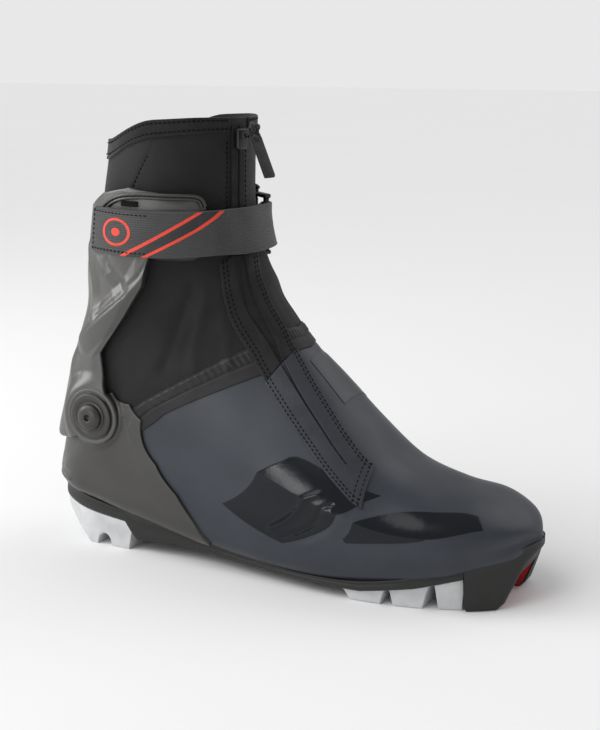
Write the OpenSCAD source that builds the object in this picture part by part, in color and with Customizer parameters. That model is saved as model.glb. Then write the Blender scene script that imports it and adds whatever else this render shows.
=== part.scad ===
// Cross country skate ski boot, right foot. Origin on the ground under the
// middle of the sole, +X to the toe, +Y to the medial side, +Z up.

/* [Overall size] */
// Length of the sole from the heel edge to the toe edge
boot_length = 294; // [245:1:353]
// Width of the upper across the ball of the foot
ball_width = 100; // [83:1:120]
// Height of the front of the gaiter above the ground
boot_height = 244; // [203:1:293]

/* [Upper] */
// Thickness of the coated forefoot shell and of the softshell above it
shell_t = 1.8; // [1.2:0.1:2.4]
// Thickness of the padded liner
liner_t = 3.6; // [2:0.1:4.6]
// Thickness of the gloss film patches
film_t = 0.4; // [0.2:0.1:0.6]
// Thickness of the welded band over the instep
band_t = 0.7; // [0.4:0.1:1]
// Height of the folded hem at the top of the gaiter
hem_h = 9; // [6:1:14]
// Thickness of the moulded heel counter
counter_t = 1.6; // [1.2:0.1:2]
// Thickness of the insole
insole_t = 3; // [2:0.5:5]

/* [Zip] */
// Width of the zip's tape and teeth
zip_w = 9; // [7:1:12]
// Width of the stitched facing beside the zip on the forefoot
facing_w = 9; // [7:1:11]
// Thickness of the zip
zip_t = 1.2; // [0.8:0.1:1.6]
// Height of the slider
slider_h = 11; // [9:1:14]
// How far the slider runs down before it meets the strap
slider_travel = 24; // [16:1:26]

/* [Cuff] */
// Thickness of the cuff
cuff_t = 2.4; // [1.8:0.1:3]
// Gap between the heel counter and the cuff that turns over it
cuff_gap = 1.6; // [1.3:0.1:2.2]
// Distance of the pivot from the heel edge
pivot_x = 42; // [36:1:50]
// Height of the pivot above the ground
pivot_z = 80; // [72:1:88]
// Diameter of the pivot screw's shank
pivot_d = 9; // [7:0.5:11]
// Diameter of the pivot screw's domed head
screw_head_d = 15; // [13:0.5:17]
// Diameter of the washer under the screw's head
washer_d = 26.5; // [22:0.5:30]
// Diameter of the round boss that ends each arm of the cuff
boss_d = 33; // [31:1:38]

/* [Strap] */
// Width of the strap
strap_w = 25; // [20:1:30]
// Thickness of one layer of the strap
strap_t = 1.5; // [1.2:0.1:1.8]
// Height of the strap's lower edge above the ground
strap_z = 174; // [170:1:180]
// Diameter of the bar that the strap turns round
loop_bar_d = 3.4; // [3:0.2:4.4]

/* [Sole] */
// Diameter of the steel bar in the toe
bar_d = 4; // [3.5:0.1:5]
// Free width of the steel bar between the two ears
bar_gap = 30; // [26:1:36]
// Depth of the steel bar's ends in the ears
bar_grip = 7; // [5:0.5:9]
// Height of the steel bar's centre above the ground
bar_z = 7; // [6:0.5:9]
// Width of each of the two guide grooves under the sole
groove_w = 9; // [7:1:12]
// Thickness of the red lining between the ears
insert_t = 1.2; // [0.8:0.1:1.6]

/* [Hidden] */
$fn = 48;

// gap between pieces that lie on each other, and running clearance of a pin in its bore
seam = 0.1;
running = 0.06;
// gap between two panels that meet edge to edge, as a share of one station
edge_gap = 0.03;
steel = "silver";

// The last that the boot is made round. One row is one ring of the upper: its top point (x, z),
// its bottom point (x, z), half width, sideways shift, how much wider it is below its middle,
// squareness of its underside (1 is round) and squareness of its sides. x starts at the heel edge.
LAST = [
    [293,  36, 293,  35, 1.5, 5, 0.00, 0.90, 0.90],
    [288,  43, 287,  33,  16, 5, 0.00, 0.80, 0.85],
    [279,  49, 280,  30,  28, 4, 0.05, 0.70, 0.80],
    [264,  55, 270,  27,  37, 3, 0.10, 0.60, 0.80],
    [243,  59, 252,  21,  43, 1, 0.15, 0.55, 0.80],
    [217,  69, 224,  14,  46, 0, 0.18, 0.50, 0.80],
    [195,  89, 186,  10,  48, 0, 0.18, 0.50, 0.80],
    [174, 111, 138,  11,  45, 0, 0.18, 0.50, 0.80],
    [158, 127,  90,  17,  40, 0, 0.16, 0.50, 0.80],
    [147, 141,  38,  26,  37, 0, 0.12, 0.55, 0.75],
    [139, 152,   5,  32,  36, 0, 0.06, 0.75, 0.72],
    [133, 163,   4,  51,  35, 0, 0.00, 0.85, 0.72],
    [128, 174,  13,  87,  35, 0, 0.00, 0.95, 0.80],
    [124, 188,  22, 125,  35, 0, 0.00, 1.00, 0.90],
    [122, 204,  28, 162,  36, 0, 0.00, 1.00, 0.95],
    [122, 223,  34, 202,  37, 0, 0.00, 1.00, 1.00],
    [122, 244,  40, 237,  37, 0, 0.00, 1.00, 1.00]];
LAST_END = len(LAST) - 1;
// size of the last as it is written above
last_length = 294;
last_width = 100;
last_height = 244;
kx = boot_length / last_length;
ky = ball_width / last_width;
kz = boot_height / last_height;

// a point of the side view or of the plan, from the heel edge, in the boot's own frame
function px(x) = (x - last_length / 2) * kx;
function spline(a, b, c, d, t) =
    b + t / 2 * (c - a + t * (2 * a - 5 * b + 4 * c - d + t * (3 * b - 3 * c + d - a)));
function row(table, q) =
    let (n = len(table) - 1, s = min(max(q, 0), n - 0.0001), i = floor(s))
    spline(table[max(i - 1, 0)], table[i], table[i + 1], table[min(i + 2, n)], s - i);

// a point of the last's surface at station s and angle a: 0 underneath or behind, 90 medial,
// 180 on top or in front, 270 lateral
function skin(s, a) =
    let (r = row(LAST, s), c = cos(a), w = sin(a),
        u = (c > 0 ? 1 - pow(c, r[7]) : 1 + pow(-c, 0.95)) / 2)
    [px(r[2] + (r[0] - r[2]) * u),
        ky * (r[5] + r[4] * sign(w) * pow(abs(w), r[8]) * (1 + r[6] * c)),
        kz * (r[3] + (r[1] - r[3]) * u)];
// the same point moved out from the last by d
function lifted(s, a, d) =
    let (along = skin(min(s + 0.05, LAST_END), a) - skin(max(s - 0.05, 0), a),
        round = skin(s, a + 2) - skin(s, a - 2), n = cross(along, round))
    skin(s, a) + d * n / norm(n);
// the station at which angle a is at height z, above the ankle
function station_at(a, z, low = 8, high = LAST_END, n = 14) =
    n == 0 ? (low + high) / 2
    : let (mid = (low + high) / 2)
      skin(mid, a)[2] < z ? station_at(a, z, mid, high, n - 1) : station_at(a, z, low, mid, n - 1);
// the angle turned to 0 to 180, the same on both sides
function half(a) = let (b = (a % 360 + 360) % 360) b > 180 ? 360 - b : b;
function at(f, s, a) = is_function(f) ? f(s, a) : f;

// a panel of even or changing thickness that lies on the last, in nu by nv fields. place gives the
// station and angle of its point (u, v), each 0 to 1, with its first end moved along by first.
// closed joins v = 1 to v = 0. cap closes the first end, and is how many stations thick that end is.
module sheet(place, nu, nv, inner, outer, closed = false, cap = 0) {
    cols = closed ? nv : nv + 1;
    faces_round = closed ? cols : cols - 1;
    function grid(off, first) = [for (i = [0:nu]) for (j = [0:cols - 1])
        let (p = place(i / nu, j / nv, first)) lifted(p[0], p[1], at(off, p[0], p[1]))];
    top = grid(outer, 0);
    bottom = grid(inner, cap);
    m = len(top);
    o = function(i, j) i * cols + j % cols;
    b = function(i, j) m + i * cols + j % cols;
    mid = function(g) [for (k = [0:2]) let (r = [for (j = [0:cols - 1]) g[j][k]]) r * [for (j = r) 1] / cols];
    quads = [
        for (i = [0:nu - 1]) for (j = [0:faces_round - 1]) each [
            [o(i, j), o(i, j + 1), o(i + 1, j + 1), o(i + 1, j)],
            [b(i, j), b(i + 1, j), b(i + 1, j + 1), b(i, j + 1)]],
        for (j = [0:faces_round - 1]) [o(nu, j), o(nu, j + 1), b(nu, j + 1), b(nu, j)],
        if (cap == 0) for (j = [0:faces_round - 1]) [o(0, j + 1), o(0, j), b(0, j), b(0, j + 1)],
        if (!closed) for (i = [0:nu - 1]) each [
            [o(i, 0), o(i + 1, 0), b(i + 1, 0), b(i, 0)],
            [o(i + 1, nv), o(i, nv), b(i, nv), b(i + 1, nv)]]];
    tris = [for (q = quads) each [[q[0], q[1], q[2]], [q[0], q[2], q[3]]],
        if (cap > 0) for (j = [0:faces_round - 1]) each [
            [o(0, j + 1), o(0, j), 2 * m], [b(0, j), b(0, j + 1), 2 * m + 1]]];
    polyhedron(points = concat(top, bottom, cap > 0 ? [mid(top), mid(bottom)] : []), faces = tris, convexity = 10);
}
// a panel from station lo(a) to hi(a) and from angle a0 to a1; a full turn closes on itself
module panel(lo, hi, a0, a1, nu, nv, inner, outer, cap = 0) {
    sheet(function(u, v, first) let (a = a0 + (a1 - a0) * v, l = lo(a) + first) [l + (hi(a) - l) * u, a],
        nu, nv, inner, outer, a1 - a0 == 360, cap);
}
// the same from table edges: lists of [angle, station]
module piece(low, high, a0, a1, nu, nv, inner, outer) {
    panel(function(a) lookup(a, low), function(a) lookup(a, high), a0, a1, nu, nv, inner, outer);
}

// ---- Sole ----
// plan of the sole: x, lateral y, medial y
PLAN = [[0, 0, 0], [4, -14, 14], [14, -24, 24], [32, -31, 31], [62, -32, 31], [100, -32, 30],
    [140, -38, 33], [175, -43, 40], [205, -45, 44], [235, -42, 43], [262, -33, 38], [280, -21, 29],
    [290, -8, 18], [294, 3, 7]];
// side view of the sole: its seat under the upper and its black underside, x and z
SEAT = [[0, 30], [20, 28.5], [66, 20], [107, 13.3], [144, 10.3], [177, 9.2], [211, 11.2], [245, 18],
    [272, 26.4], [294, 34]];
UNDERSIDE = [[0, 24], [56, 17], [60, 11], [64, 6.5], [86, 8], [125, 6.5], [164, 6], [210, 6],
    [239, 11], [262, 17], [267, 18]];
TOE_BLOCK = [[266, 24], [264, 1], [265, 0], [278, 0], [281, 3], [289, 23], [289, 30]];
SPLINE_STEPS = 3;
// glue line between the upper and the sole
sole_drop = 0.3;
function smooth(table) = [for (i = [0:SPLINE_STEPS * (len(table) - 1)]) row(table, i / SPLINE_STEPS)];
// plan of the sole, drawn in by inset
module plan(inset = 0) {
    edge = smooth(PLAN);
    n = len(edge) - 1;
    shrink = function(x, y) [px(x + inset * (1 - 2 * x / last_length)), ky * y - sign(y) * min(inset, abs(ky * y))];
    polygon(concat([for (i = [0:n]) shrink(edge[i][0], edge[i][1])],
        [for (i = [n:-1:1]) shrink(edge[i][0], edge[i][2])]));
}
// a slab as wide as the sole with this side view
module side(outline, half_w = 70) {
    rotate([90, 0, 0]) linear_extrude(2 * half_w, center = true)
        polygon([for (p = outline) [px(p[0]), kz * p[1]]]);
}
module upright(inset, h) {
    translate([0, 0, -1]) linear_extrude(h) plan(inset);
}
seat_line = smooth(SEAT);
bar_x = 275;
groove_y = 12;
groove_depth = 5;
module grooves() {
    for (y = [-groove_y, groove_y])
        translate([px(12), y - groove_w / 2, -1])
            cube([px(262) - px(12), groove_w, groove_depth + 1]);
}
// space between the two ears of the toe, for the binding's jaw
module jaw_space(extra = 0) {
    w = bar_gap + 2 * insert_t + 2 * extra;
    translate([px(262), -w / 2, -1]) cube([px(300) - px(262), w, kz * 17 + 1 + insert_t + extra]);
}
module bar_hole(d) {
    translate([px(bar_x), 0, bar_z]) rotate([90, 0, 0])
        cylinder(d = d, h = bar_gap + 2 * bar_grip, center = true);
}
module outsole() {
    color("#2d2d2b") difference() {
        union() {
            intersection() {
                upright(0, 60);
                translate([0, 0, -sole_drop]) side(concat(seat_line, [[294, 30], [289, 23]],
                    [for (i = [len(UNDERSIDE) - 1:-1:0]) UNDERSIDE[i]]));
            }
            intersection() {
                upright(1, 60);
                side(concat(TOE_BLOCK, [[272, 25]]));
            }
        }
        jaw_space();
        bar_hole(bar_d);
    }
}
// a block of tread rubber under the sole from x0 to x1, with this outline below
module tread(x0, x1, below, inset) {
    roof = concat([[x1, lookup(x1, UNDERSIDE)]],
        [for (i = [len(UNDERSIDE) - 1:-1:0]) if (UNDERSIDE[i][0] > x0 && UNDERSIDE[i][0] < x1) UNDERSIDE[i]],
        [[x0, lookup(x0, UNDERSIDE)]]);
    color("#c9cacb") difference() {
        intersection() {
            upright(inset, 60);
            translate([0, 0, -sole_drop - seam]) side(concat(roof, below));
        }
        translate([0, 0, -60]) cube(120 * [4, 4, 1], center = true);
        grooves();
    }
}
// heel rubber with an arched notch between its two lugs
module heel_tread() {
    arch = [for (t = [180:-15:0]) [41 + 5 * cos(t), 7 * sin(t)]];
    tread(1, 60, concat([[25, 5], [30, -1], [36, -1]], arch, [[46, -1], [58, -1]]), 1.5);
}
module ball_lug_rear() { tread(200, 223, [[204, -1], [221, -1]], 3); }
module ball_lug_mid() { tread(226, 246, [[228, -1], [243, -1]], 3); }
module ball_lug_front() { tread(249, 263.4, [[251, -1], [262.4, -1]], 3); }
module toe_bar() { color(steel) bar_hole(bar_d); }
// red lining of the inner faces of the ears and of the roof between them
module toe_insert() {
    color("#c00d10") difference() {
        intersection() {
            upright(2.5, 60);
            side([[266, 30], [265.5, 2], [278, 1], [280, 4], [288, 23], [288, 30]]);
            jaw_space();
        }
        translate([px(260), -bar_gap / 2, -2]) cube([60 * kx, bar_gap, kz * 17 + 2]);
        bar_hole(bar_d + 2 * seam);
    }
}

// ---- Inside the shell ----
liner_out = -shell_t - 0.7;
liner_in = liner_out - liner_t;
board_t = 1.2;
// a flat piece that follows the sole's seat: its underside is low above the seat, its top high
module footbed(low, high, inset, first, last) {
    line = [for (p = seat_line) if (p[0] >= first && p[0] <= last) p];
    intersection() {
        upright(inset, 80);
        rotate([90, 0, 0]) linear_extrude(200, center = true)
            polygon(concat([for (p = line) [px(p[0]), kz * p[1] + low]],
                [for (i = [len(line) - 1:-1:0]) [px(line[i][0]), kz * line[i][1] + high]]));
    }
}
board_low = shell_t + liner_t + 5;
module lasting_board() { color("tan") footbed(board_low, board_low + board_t, 13, 20, 256); }
module insole() {
    color("#444444") footbed(board_low + board_t + seam, board_low + board_t + insole_t, 13, 20, 256);
}

// ---- Upper ----
// lower edge of the soft ankle, which is the upper edge of the forefoot shell
function shell_edge(a) = 8.3 + 1.3 * (1 + cos(a));
// lower edge of the leg of the gaiter, which turns with the cuff
function leg_edge(a) = 12.05 + 0.15 * cos(a);
module forefoot_shell() {
    color("#3b3e45") panel(function(a) 0, function(a) shell_edge(a) - edge_gap, 0, 360, 22, 32,
        -shell_t, 0, 0.8);
}
module liner_foot() {
    color("#1c1c1c") panel(function(a) 2, function(a) shell_edge(a) - edge_gap, 0, 360, 12, 32,
        liner_in, liner_out, 0.35);
}
module pivot_holes(d) {
    translate([px(pivot_x), 0, kz * pivot_z]) rotate([90, 0, 0]) cylinder(d = d, h = 140, center = true);
}
module ankle_softshell() {
    color("#232323") difference() {
        panel(function(a) shell_edge(a), function(a) leg_edge(a) - edge_gap, 0, 360, 8, 32, -shell_t, 0);
        pivot_holes(nut_d + 1);
    }
}
module liner_ankle() {
    color("#1c1c1c") difference() {
        panel(function(a) shell_edge(a), function(a) leg_edge(a) - edge_gap, 0, 360, 6, 24, liner_in, liner_out);
        for (side = [-1, 1]) on_pivot(side, nut_in - 0.2, 0) cylinder(d = nut_d + 1, h = 20);
    }
}
module leg_softshell() {
    color("#262626") panel(function(a) leg_edge(a), function(a) LAST_END - 0.01, 0, 360, 8, 32, -shell_t, 0);
}
module liner_leg() {
    color("#1c1c1c") panel(function(a) leg_edge(a), function(a) LAST_END - 0.15, 0, 360, 6, 24,
        liner_in, liner_out);
}
hem_t = 1;
module leg_hem() {
    color("#2a2a2a") panel(function(a) station_at(a, skin(LAST_END, a)[2] - hem_h), function(a) LAST_END,
        204, 542, 1, 32, seam, seam + hem_t);
}

// ---- Film patches and welded band ----
film_out = seam + film_t;
module film_side() {
    color("#1b202b") piece([[250, 6.3], [262, 5.8], [282, 6.5], [293, 6.6]],
        [[250, 6.8], [262, 7.0], [282, 7.4], [293, 7.1]], 252, 293, 5, 8, seam, film_out);
}
module film_toe() {
    color("#1b202b") piece([[228, 2.8], [254, 2.6], [278, 4.2]], [[228, 3.6], [245, 4.9], [262, 5.4], [278, 5.6]],
        230, 278, 6, 8, seam, film_out);
}
module film_instep() {
    color("#1b202b") piece([[132, 6.6], [192, 6.4]], [[132, 7.7], [192, 7.5]], 134, 192, 4, 8, seam, film_out);
}
module film_medial() {
    color("#1b202b") piece([[70, 4.6], [100, 4.4], [126, 5.4]], [[70, 6.6], [100, 7.2], [126, 6.6]],
        70, 126, 6, 8, seam, film_out);
}
band_low = [[90, 9.15], [137, 8.25], [180, 7.75], [223, 8.15], [270, 9.1]];
band_high = [[90, 9.55], [137, 8.75], [180, 8.25], [223, 8.7], [270, 9.55]];
// the welded band runs over the instep and stops at the zip's facing
module ankle_band() {
    color("#161616") for (range = [[92, 194], [234, 268]])
        piece(band_low, band_high, range[0], range[1], 3, 10, seam, seam + band_t);
}

// ---- Zip ----
// angle of the zip's middle at station s
ZIP_LINE = [[5.5, 235], [6.5, 224], [7.6, 215], [8.6, 208], [10, 204], [12, 199], [14, 195], [16, 195]];
function zip_angle(s) = lookup(s, ZIP_LINE);
// angle that spans the width w at station s, in front
function span_angle(s, w) = w / norm(skin(s, zip_angle(s) + 0.5) - skin(s, zip_angle(s) - 0.5));
// a strip of width w whose middle is off to the side of the zip's middle
module zip_strip(s0, s1, n, w, shift, inner, outer) {
    rows = [for (i = [0:n]) s0 + (s1 - s0) * i / n];
    pts = function(d) [for (s = rows) for (e = [-0.5, -0.17, 0.17, 0.5])
        lifted(s, zip_angle(s) + span_angle(s, shift + w * e), d)];
    m = 4 * (n + 1);
    o = function(i, j) 4 * i + j;
    quads = [for (i = [0:n - 1]) for (j = [0:2]) each [
            [o(i, j), o(i, j + 1), o(i + 1, j + 1), o(i + 1, j)],
            [m + o(i, j), m + o(i + 1, j), m + o(i + 1, j + 1), m + o(i, j + 1)]],
        for (j = [0:2]) each [[o(0, j + 1), o(0, j), m + o(0, j), m + o(0, j + 1)],
            [o(n, j), o(n, j + 1), m + o(n, j + 1), m + o(n, j)]],
        for (i = [0:n - 1]) each [[o(i, 0), o(i + 1, 0), m + o(i + 1, 0), m + o(i, 0)],
            [o(i + 1, 3), o(i, 3), m + o(i, 3), m + o(i + 1, 3)]]];
    polyhedron(points = concat(pts(outer), pts(inner)),
        faces = [for (q = quads) each [[q[0], q[1], q[2]], [q[0], q[2], q[3]]]], convexity = 4);
}
zip_out = seam + zip_t;
module zip_foot() { color("#101010") zip_strip(5.75, 8.2, 8, zip_w, 0, seam, zip_out); }
module zip_ankle() { color("#101010") zip_strip(8.45, 11.7, 10, zip_w, 0, seam, zip_out); }
module zip_leg() { color("#101010") zip_strip(12.3, 15.95, 12, zip_w, 0, seam, zip_out); }
facing_t = 1;
module zip_facing() {
    shift = (zip_w + facing_w) / 2 + 2 * seam;
    color("#2b2e35") {
        for (e = [-shift, shift]) zip_strip(5.3, 7.95, 8, facing_w, e, seam, seam + facing_t);
        zip_strip(5.35, 5.7, 2, zip_w - seam, 0, seam, seam + facing_t);
    }
}

// ---- Heel counter, cuff and pivots ----
counter_out = seam + counter_t;
cuff_in = counter_out + cuff_gap;
cuff_out = cuff_in + cuff_t;
nut_d = 11;
// half width of the upper at the pivot, and the faces that the pivot's pieces lie on
pivot_station = 10.6;
pivot_angle = 287;
pivot_y = abs(skin(pivot_station, pivot_angle)[1]);
boss_in = pivot_y + cuff_in + 0.3;
boss_out = boss_in + cuff_t + 0.6;
washer_t = 1.2;
head_h = 3.2;
// the nut lies between the softshell's hole and a pocket in the liner
nut_t = 1.6;
nut_in = pivot_y - shell_t - nut_t - 0.4;
COUNTER_LOW = [[0, 9.97], [20, 9.9], [28, 9.5], [34, 8.6], [39, 7.7], [43, 7.45], [56, 7.75],
    [70, 8.15], [80, 8.65], [86, 9.3], [90, 9.7]];
COUNTER_HIGH = [[0, 11.25], [30, 11.1], [50, 11.0], [72, 11.2], [80, 11.0], [90, 9.9]];
module heel_counter() {
    color("#34322e") difference() {
        panel(function(a) lookup(half(a), COUNTER_LOW), function(a) lookup(half(a), COUNTER_HIGH),
            -88, 88, 6, 30, seam, counter_out);
        pivot_holes(pivot_d);
    }
}
// one pivot piece, turned about the pivot's axis: y0 to y1 from the middle, on side -1 or 1
module on_pivot(side, y0, y1) {
    translate([px(pivot_x), side * y0, kz * pivot_z]) rotate([-90 * side, 0, 0]) children();
}
module pivot_screw(side) {
    length = boss_out + washer_t + seam - nut_in - 0.5;
    color("#4a4a46") on_pivot(side, nut_in + 0.5, 0) difference() {
        union() {
            cylinder(d = pivot_d - 2 * running, h = length);
            translate([0, 0, length]) cylinder(d1 = screw_head_d, d2 = screw_head_d - 4, h = head_h);
        }
        translate([0, 0, length + head_h - 2]) cylinder(d = 4, h = 3, $fn = 6);
    }
}
module pivot_nut(side) {
    color(steel) on_pivot(side, nut_in, 0) difference() {
        cylinder(d = nut_d, h = nut_t);
        translate([0, 0, 0.4]) cylinder(d = pivot_d - 2 * running + 2 * seam, h = 3);
    }
}
module pivot_washer(side) {
    color("#3a3935") on_pivot(side, boss_out, 0) difference() {
        cylinder(d = washer_d, h = washer_t);
        translate([0, 0, -1]) cylinder(d = pivot_d, h = 4);
    }
}
// how far round the cuff reaches at each station, its lower edge and its top edge by side angle
CUFF_REACH = [[10.2, 72], [10.9, 79], [11.5, 74], [12.1, 68], [12.5, 84], [12.9, 95], [13.3, 97],
    [13.6, 100], [13.85, 136], [14.1, 136], [14.4, 127], [14.7, 108], [15, 80]];
CUFF_LOW = [[0, 11.4], [0.25, 11.35], [0.5, 11.0], [0.75, 10.6], [0.9, 10.4], [1, 10.5]];
CUFF_HIGH = [[0, 14.8], [0.4, 14.85], [0.7, 14.98], [1, 14.98]];
// the cuff stands a little further off low at the back, where it swings over the counter
function cuff_flare(s, a) = max(0, 1 - abs(s - 11.4)) * max(0, cos(half(a)) - 0.2) * 1.5;
module cuff() {
    place = function(u, v, first)
        let (w = 2 * v - 1, l = lookup(abs(w), CUFF_LOW), s = l + (lookup(abs(w), CUFF_HIGH) - l) * u)
        [s, w * lookup(s, CUFF_REACH)];
    color("#4b4a45") difference() {
        union() {
            sheet(place, 26, 28, function(s, a) cuff_in + cuff_flare(s, a),
                function(s, a) cuff_out + cuff_flare(s, a));
            for (side = [-1, 1]) on_pivot(side, boss_in, 0) cylinder(d = boss_d, h = boss_out - boss_in);
        }
        pivot_holes(pivot_d);
    }
}
// the wing's top edge: station at side angle a
WING_TOP = [[36, 14.85], [61, 14.95], [78, 14.98], [100, 14.78], [127, 14.4], [134, 14.15]];
// piping along the front and top edges of one wing of the cuff
trim_h = 0.12;
// how far the piping stays above the strap at side angle a: it clears the hook patch on the side
ABOVE_STRAP = [[66, 0.8], [74, 6.3], [94, 6.3], [102, 0.8]];
module cuff_trim(side) {
    low = function(a) max(lookup(half(a), WING_TOP) - trim_h,
        station_at(a, kz * strap_z + strap_w + lookup(half(a), ABOVE_STRAP)));
    high = function(a) max(lookup(half(a), WING_TOP) + trim_h / 2, low(a) + trim_h);
    color("#55544e") panel(low, high, side > 0 ? 62 : 229, side > 0 ? 106 : 298, 1, 14,
        cuff_out + seam, cuff_out + 1.3);
}
module cuff_pad(side) {
    color("#1a1a1a") panel(function(a) 12.75 + 0.001 * half(a), function(a) lookup(half(a), WING_TOP) - 0.1,
        side > 0 ? 64 : 226, side > 0 ? 134 : 296, 4, 10, seam, cuff_in - seam);
}

// ---- Strap ----
strap_top = strap_z + strap_w;
// angle of the bar that the strap turns round, on the medial side, and how far out it stands
bar_angle = 147;
bar_out = 5.9;
loop_wall = 2.6;
base_off = zip_out + 0.4;
// hook-and-loop pile between the two runs of the strap
strap_gap = 0.9;
strap_bore = loop_bar_d + 2 * running;
wing_end = 224;
function ramp(x, x0, x1) = min(max((x - x0) / (x1 - x0), 0), 1);
function soft(t) = t * t * (3 - 2 * t);
// how far off the last the inner run of the strap lies: on the gaiter in front, then on the wing
function base_at(s, a) = base_off + (cuff_out + 4 * seam - base_off) * soft(ramp(a, 198, 221));
function strap_at(s, a) = base_at(s, a) + strap_t + strap_gap
    + (bar_out + strap_bore / 2 - base_off - strap_t - strap_gap) * soft(1 - ramp(a, bar_angle, 176));
module strap_run(a0, a1, n, inner) {
    panel(function(a) station_at(a, kz * strap_z), function(a) station_at(a, kz * strap_z + strap_w),
        a0, a1, 2, n, inner, function(s, a) inner(s, a) + strap_t);
}
bar_point = lifted(station_at(bar_angle, kz * strap_z + strap_w / 2), bar_angle, bar_out);
bar_point_low = [bar_point[0], bar_point[1], kz * strap_z];
module strap_base() {
    color("#2a2a2a") strap_run(bar_angle + 9, 296, 24, function(s, a) base_at(s, a));
}
module strap() {
    color("#3a3a3a") difference() {
        union() {
            strap_run(bar_angle, 305, 28, function(s, a) strap_at(s, a));
            translate(bar_point_low) cylinder(d = strap_bore + 2 * strap_t, h = strap_w);
        }
        translate(bar_point_low - [0, 0, 5]) cylinder(d = strap_bore, h = strap_w + 10);
    }
}
// moulded loop on the medial wing: a bar in front and two cheeks that reach back to the wing
loop_gap = 2;
cheek_w = 3.6;
loop_back_angle = 118;
module strap_loop() {
    back = lifted(station_at(loop_back_angle, kz * strap_z + strap_w / 2), loop_back_angle, cuff_out + 2.6);
    dir = back - bar_point;
    reach = norm([dir[0], dir[1]]);
    foot = -loop_wall - loop_gap;
    color("#4b4a45") translate(bar_point_low) {
        translate([0, 0, foot]) cylinder(d = loop_bar_d, h = strap_w - 2 * foot);
        rotate([0, 0, atan2(dir[1], dir[0])]) {
            for (z = [foot, strap_w + loop_gap]) translate([0, 0, z]) {
                translate([0, -cheek_w / 2, 0]) cube([reach, cheek_w, loop_wall]);
                cylinder(d = 6, h = loop_wall);
            }
            translate([reach - 1, -1.4, foot]) cube([7, 2.8, strap_w - 2 * foot]);
        }
    }
}
rivet_d = 6;
rivet_h = 0.5;
module strap_rivets() {
    a = 288;
    color(steel) for (z = [7, strap_w - 7]) {
        s = station_at(a, kz * strap_z + z);
        p = lifted(s, a, cuff_out + strap_t + 6 * seam);
        out = p - skin(s, a);
        translate(p) rotate([0, 0, atan2(out[1], out[0])]) rotate([0, 90, 0]) cylinder(d = rivet_d, h = rivet_h);
    }
}
module hook_patch() {
    color("#101010") panel(function(a) station_at(a, kz * strap_z + strap_w + 1.5),
        function(a) station_at(a, kz * strap_z + strap_w + 6), 268, 284, 1, 3, cuff_out + seam, cuff_out + 1);
}

// ---- Zip slider and pull ----
slider_w = 7;
slider_t = 3;
slider_below_top = 8;
slider_angle = 195;
slider_z = boot_height - slider_below_top;
slider_p = lifted(station_at(slider_angle, slider_z), slider_angle, zip_out + 0.4);
slider_out = slider_p - skin(station_at(slider_angle, slider_z), slider_angle);
slider_turn = atan2(slider_out[1], slider_out[0]);
pin_d = 1.6;
pin_out = slider_t + 1.8;
pin_z = 2;
eye_d = pin_d + 2 * running;
// places its children on the slider: x away from the boot, y across, z up, from the slider's middle
module on_slider() {
    translate(slider_p) rotate([0, 0, slider_turn]) children();
}
module across(d, h) {
    rotate([90, 0, 0]) cylinder(d = d, h = h, center = true);
}
module zip_slider() {
    color("#1e1e1e") on_slider() {
        translate([0, -slider_w / 2, -slider_h / 2]) cube([slider_t, slider_w, slider_h]);
        for (y = [-2.6, 1.4]) translate([slider_t - 0.5, y, pin_z - 1.5]) cube([3.6, 1.2, 3]);
        translate([pin_out, 0, pin_z]) across(pin_d, 3);
    }
}
tab_w = 7;
tab_l = 24;
tab_t = 2.2;
tab_tilt = 27;
knot_out = 11;
// webbing tab: an eye on the slider's pin, a short neck, a two-part knot and the folded end
module zip_pull() {
    color("#141414") on_slider() translate([pin_out, 0, pin_z]) difference() {
        union() {
            across(eye_d + 1.4, 2);
            rotate([0, -30, 0]) translate([0, -1, -0.6]) cube([knot_out - pin_out, 2, 1.2]);
            translate([knot_out - pin_out, 0, 3.6]) sphere(d = 8);
            translate([knot_out - pin_out + 1, 0, -1]) sphere(d = 7);
            translate([knot_out - pin_out + 1, 0, 0]) rotate([0, -tab_tilt, 0])
                translate([-tab_t / 2, -tab_w / 2, -tab_l]) cube([tab_t, tab_w, tab_l]);
        }
        across(eye_d, 6);
    }
}

outsole();
heel_tread();
ball_lug_rear();
ball_lug_mid();
ball_lug_front();
toe_bar();
toe_insert();
lasting_board();
insole();
liner_foot();
forefoot_shell();
film_side();
film_toe();
film_instep();
film_medial();
ankle_band();
zip_facing();
zip_foot();
heel_counter();
pivot_screw(-1);  // pivot_screw_lateral
pivot_screw(1);  // pivot_screw_medial
pivot_nut(-1);  // pivot_nut_lateral
pivot_nut(1);  // pivot_nut_medial
ankle_softshell();
liner_ankle();
zip_ankle();
cuff();
pivot_washer(-1);  // pivot_washer_lateral
pivot_washer(1);  // pivot_washer_medial
cuff_trim(-1);  // cuff_trim_lateral
cuff_trim(1);  // cuff_trim_medial
cuff_pad(-1);  // cuff_pad_lateral
cuff_pad(1);  // cuff_pad_medial
leg_softshell();
leg_hem();
liner_leg();
zip_leg();
hook_patch();
strap_base();
strap_rivets();
strap_loop();
strap();
zip_slider();
zip_pull();
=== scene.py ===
"""Cross country skate ski boot: the finished look of its pieces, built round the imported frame."""

import math

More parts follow.
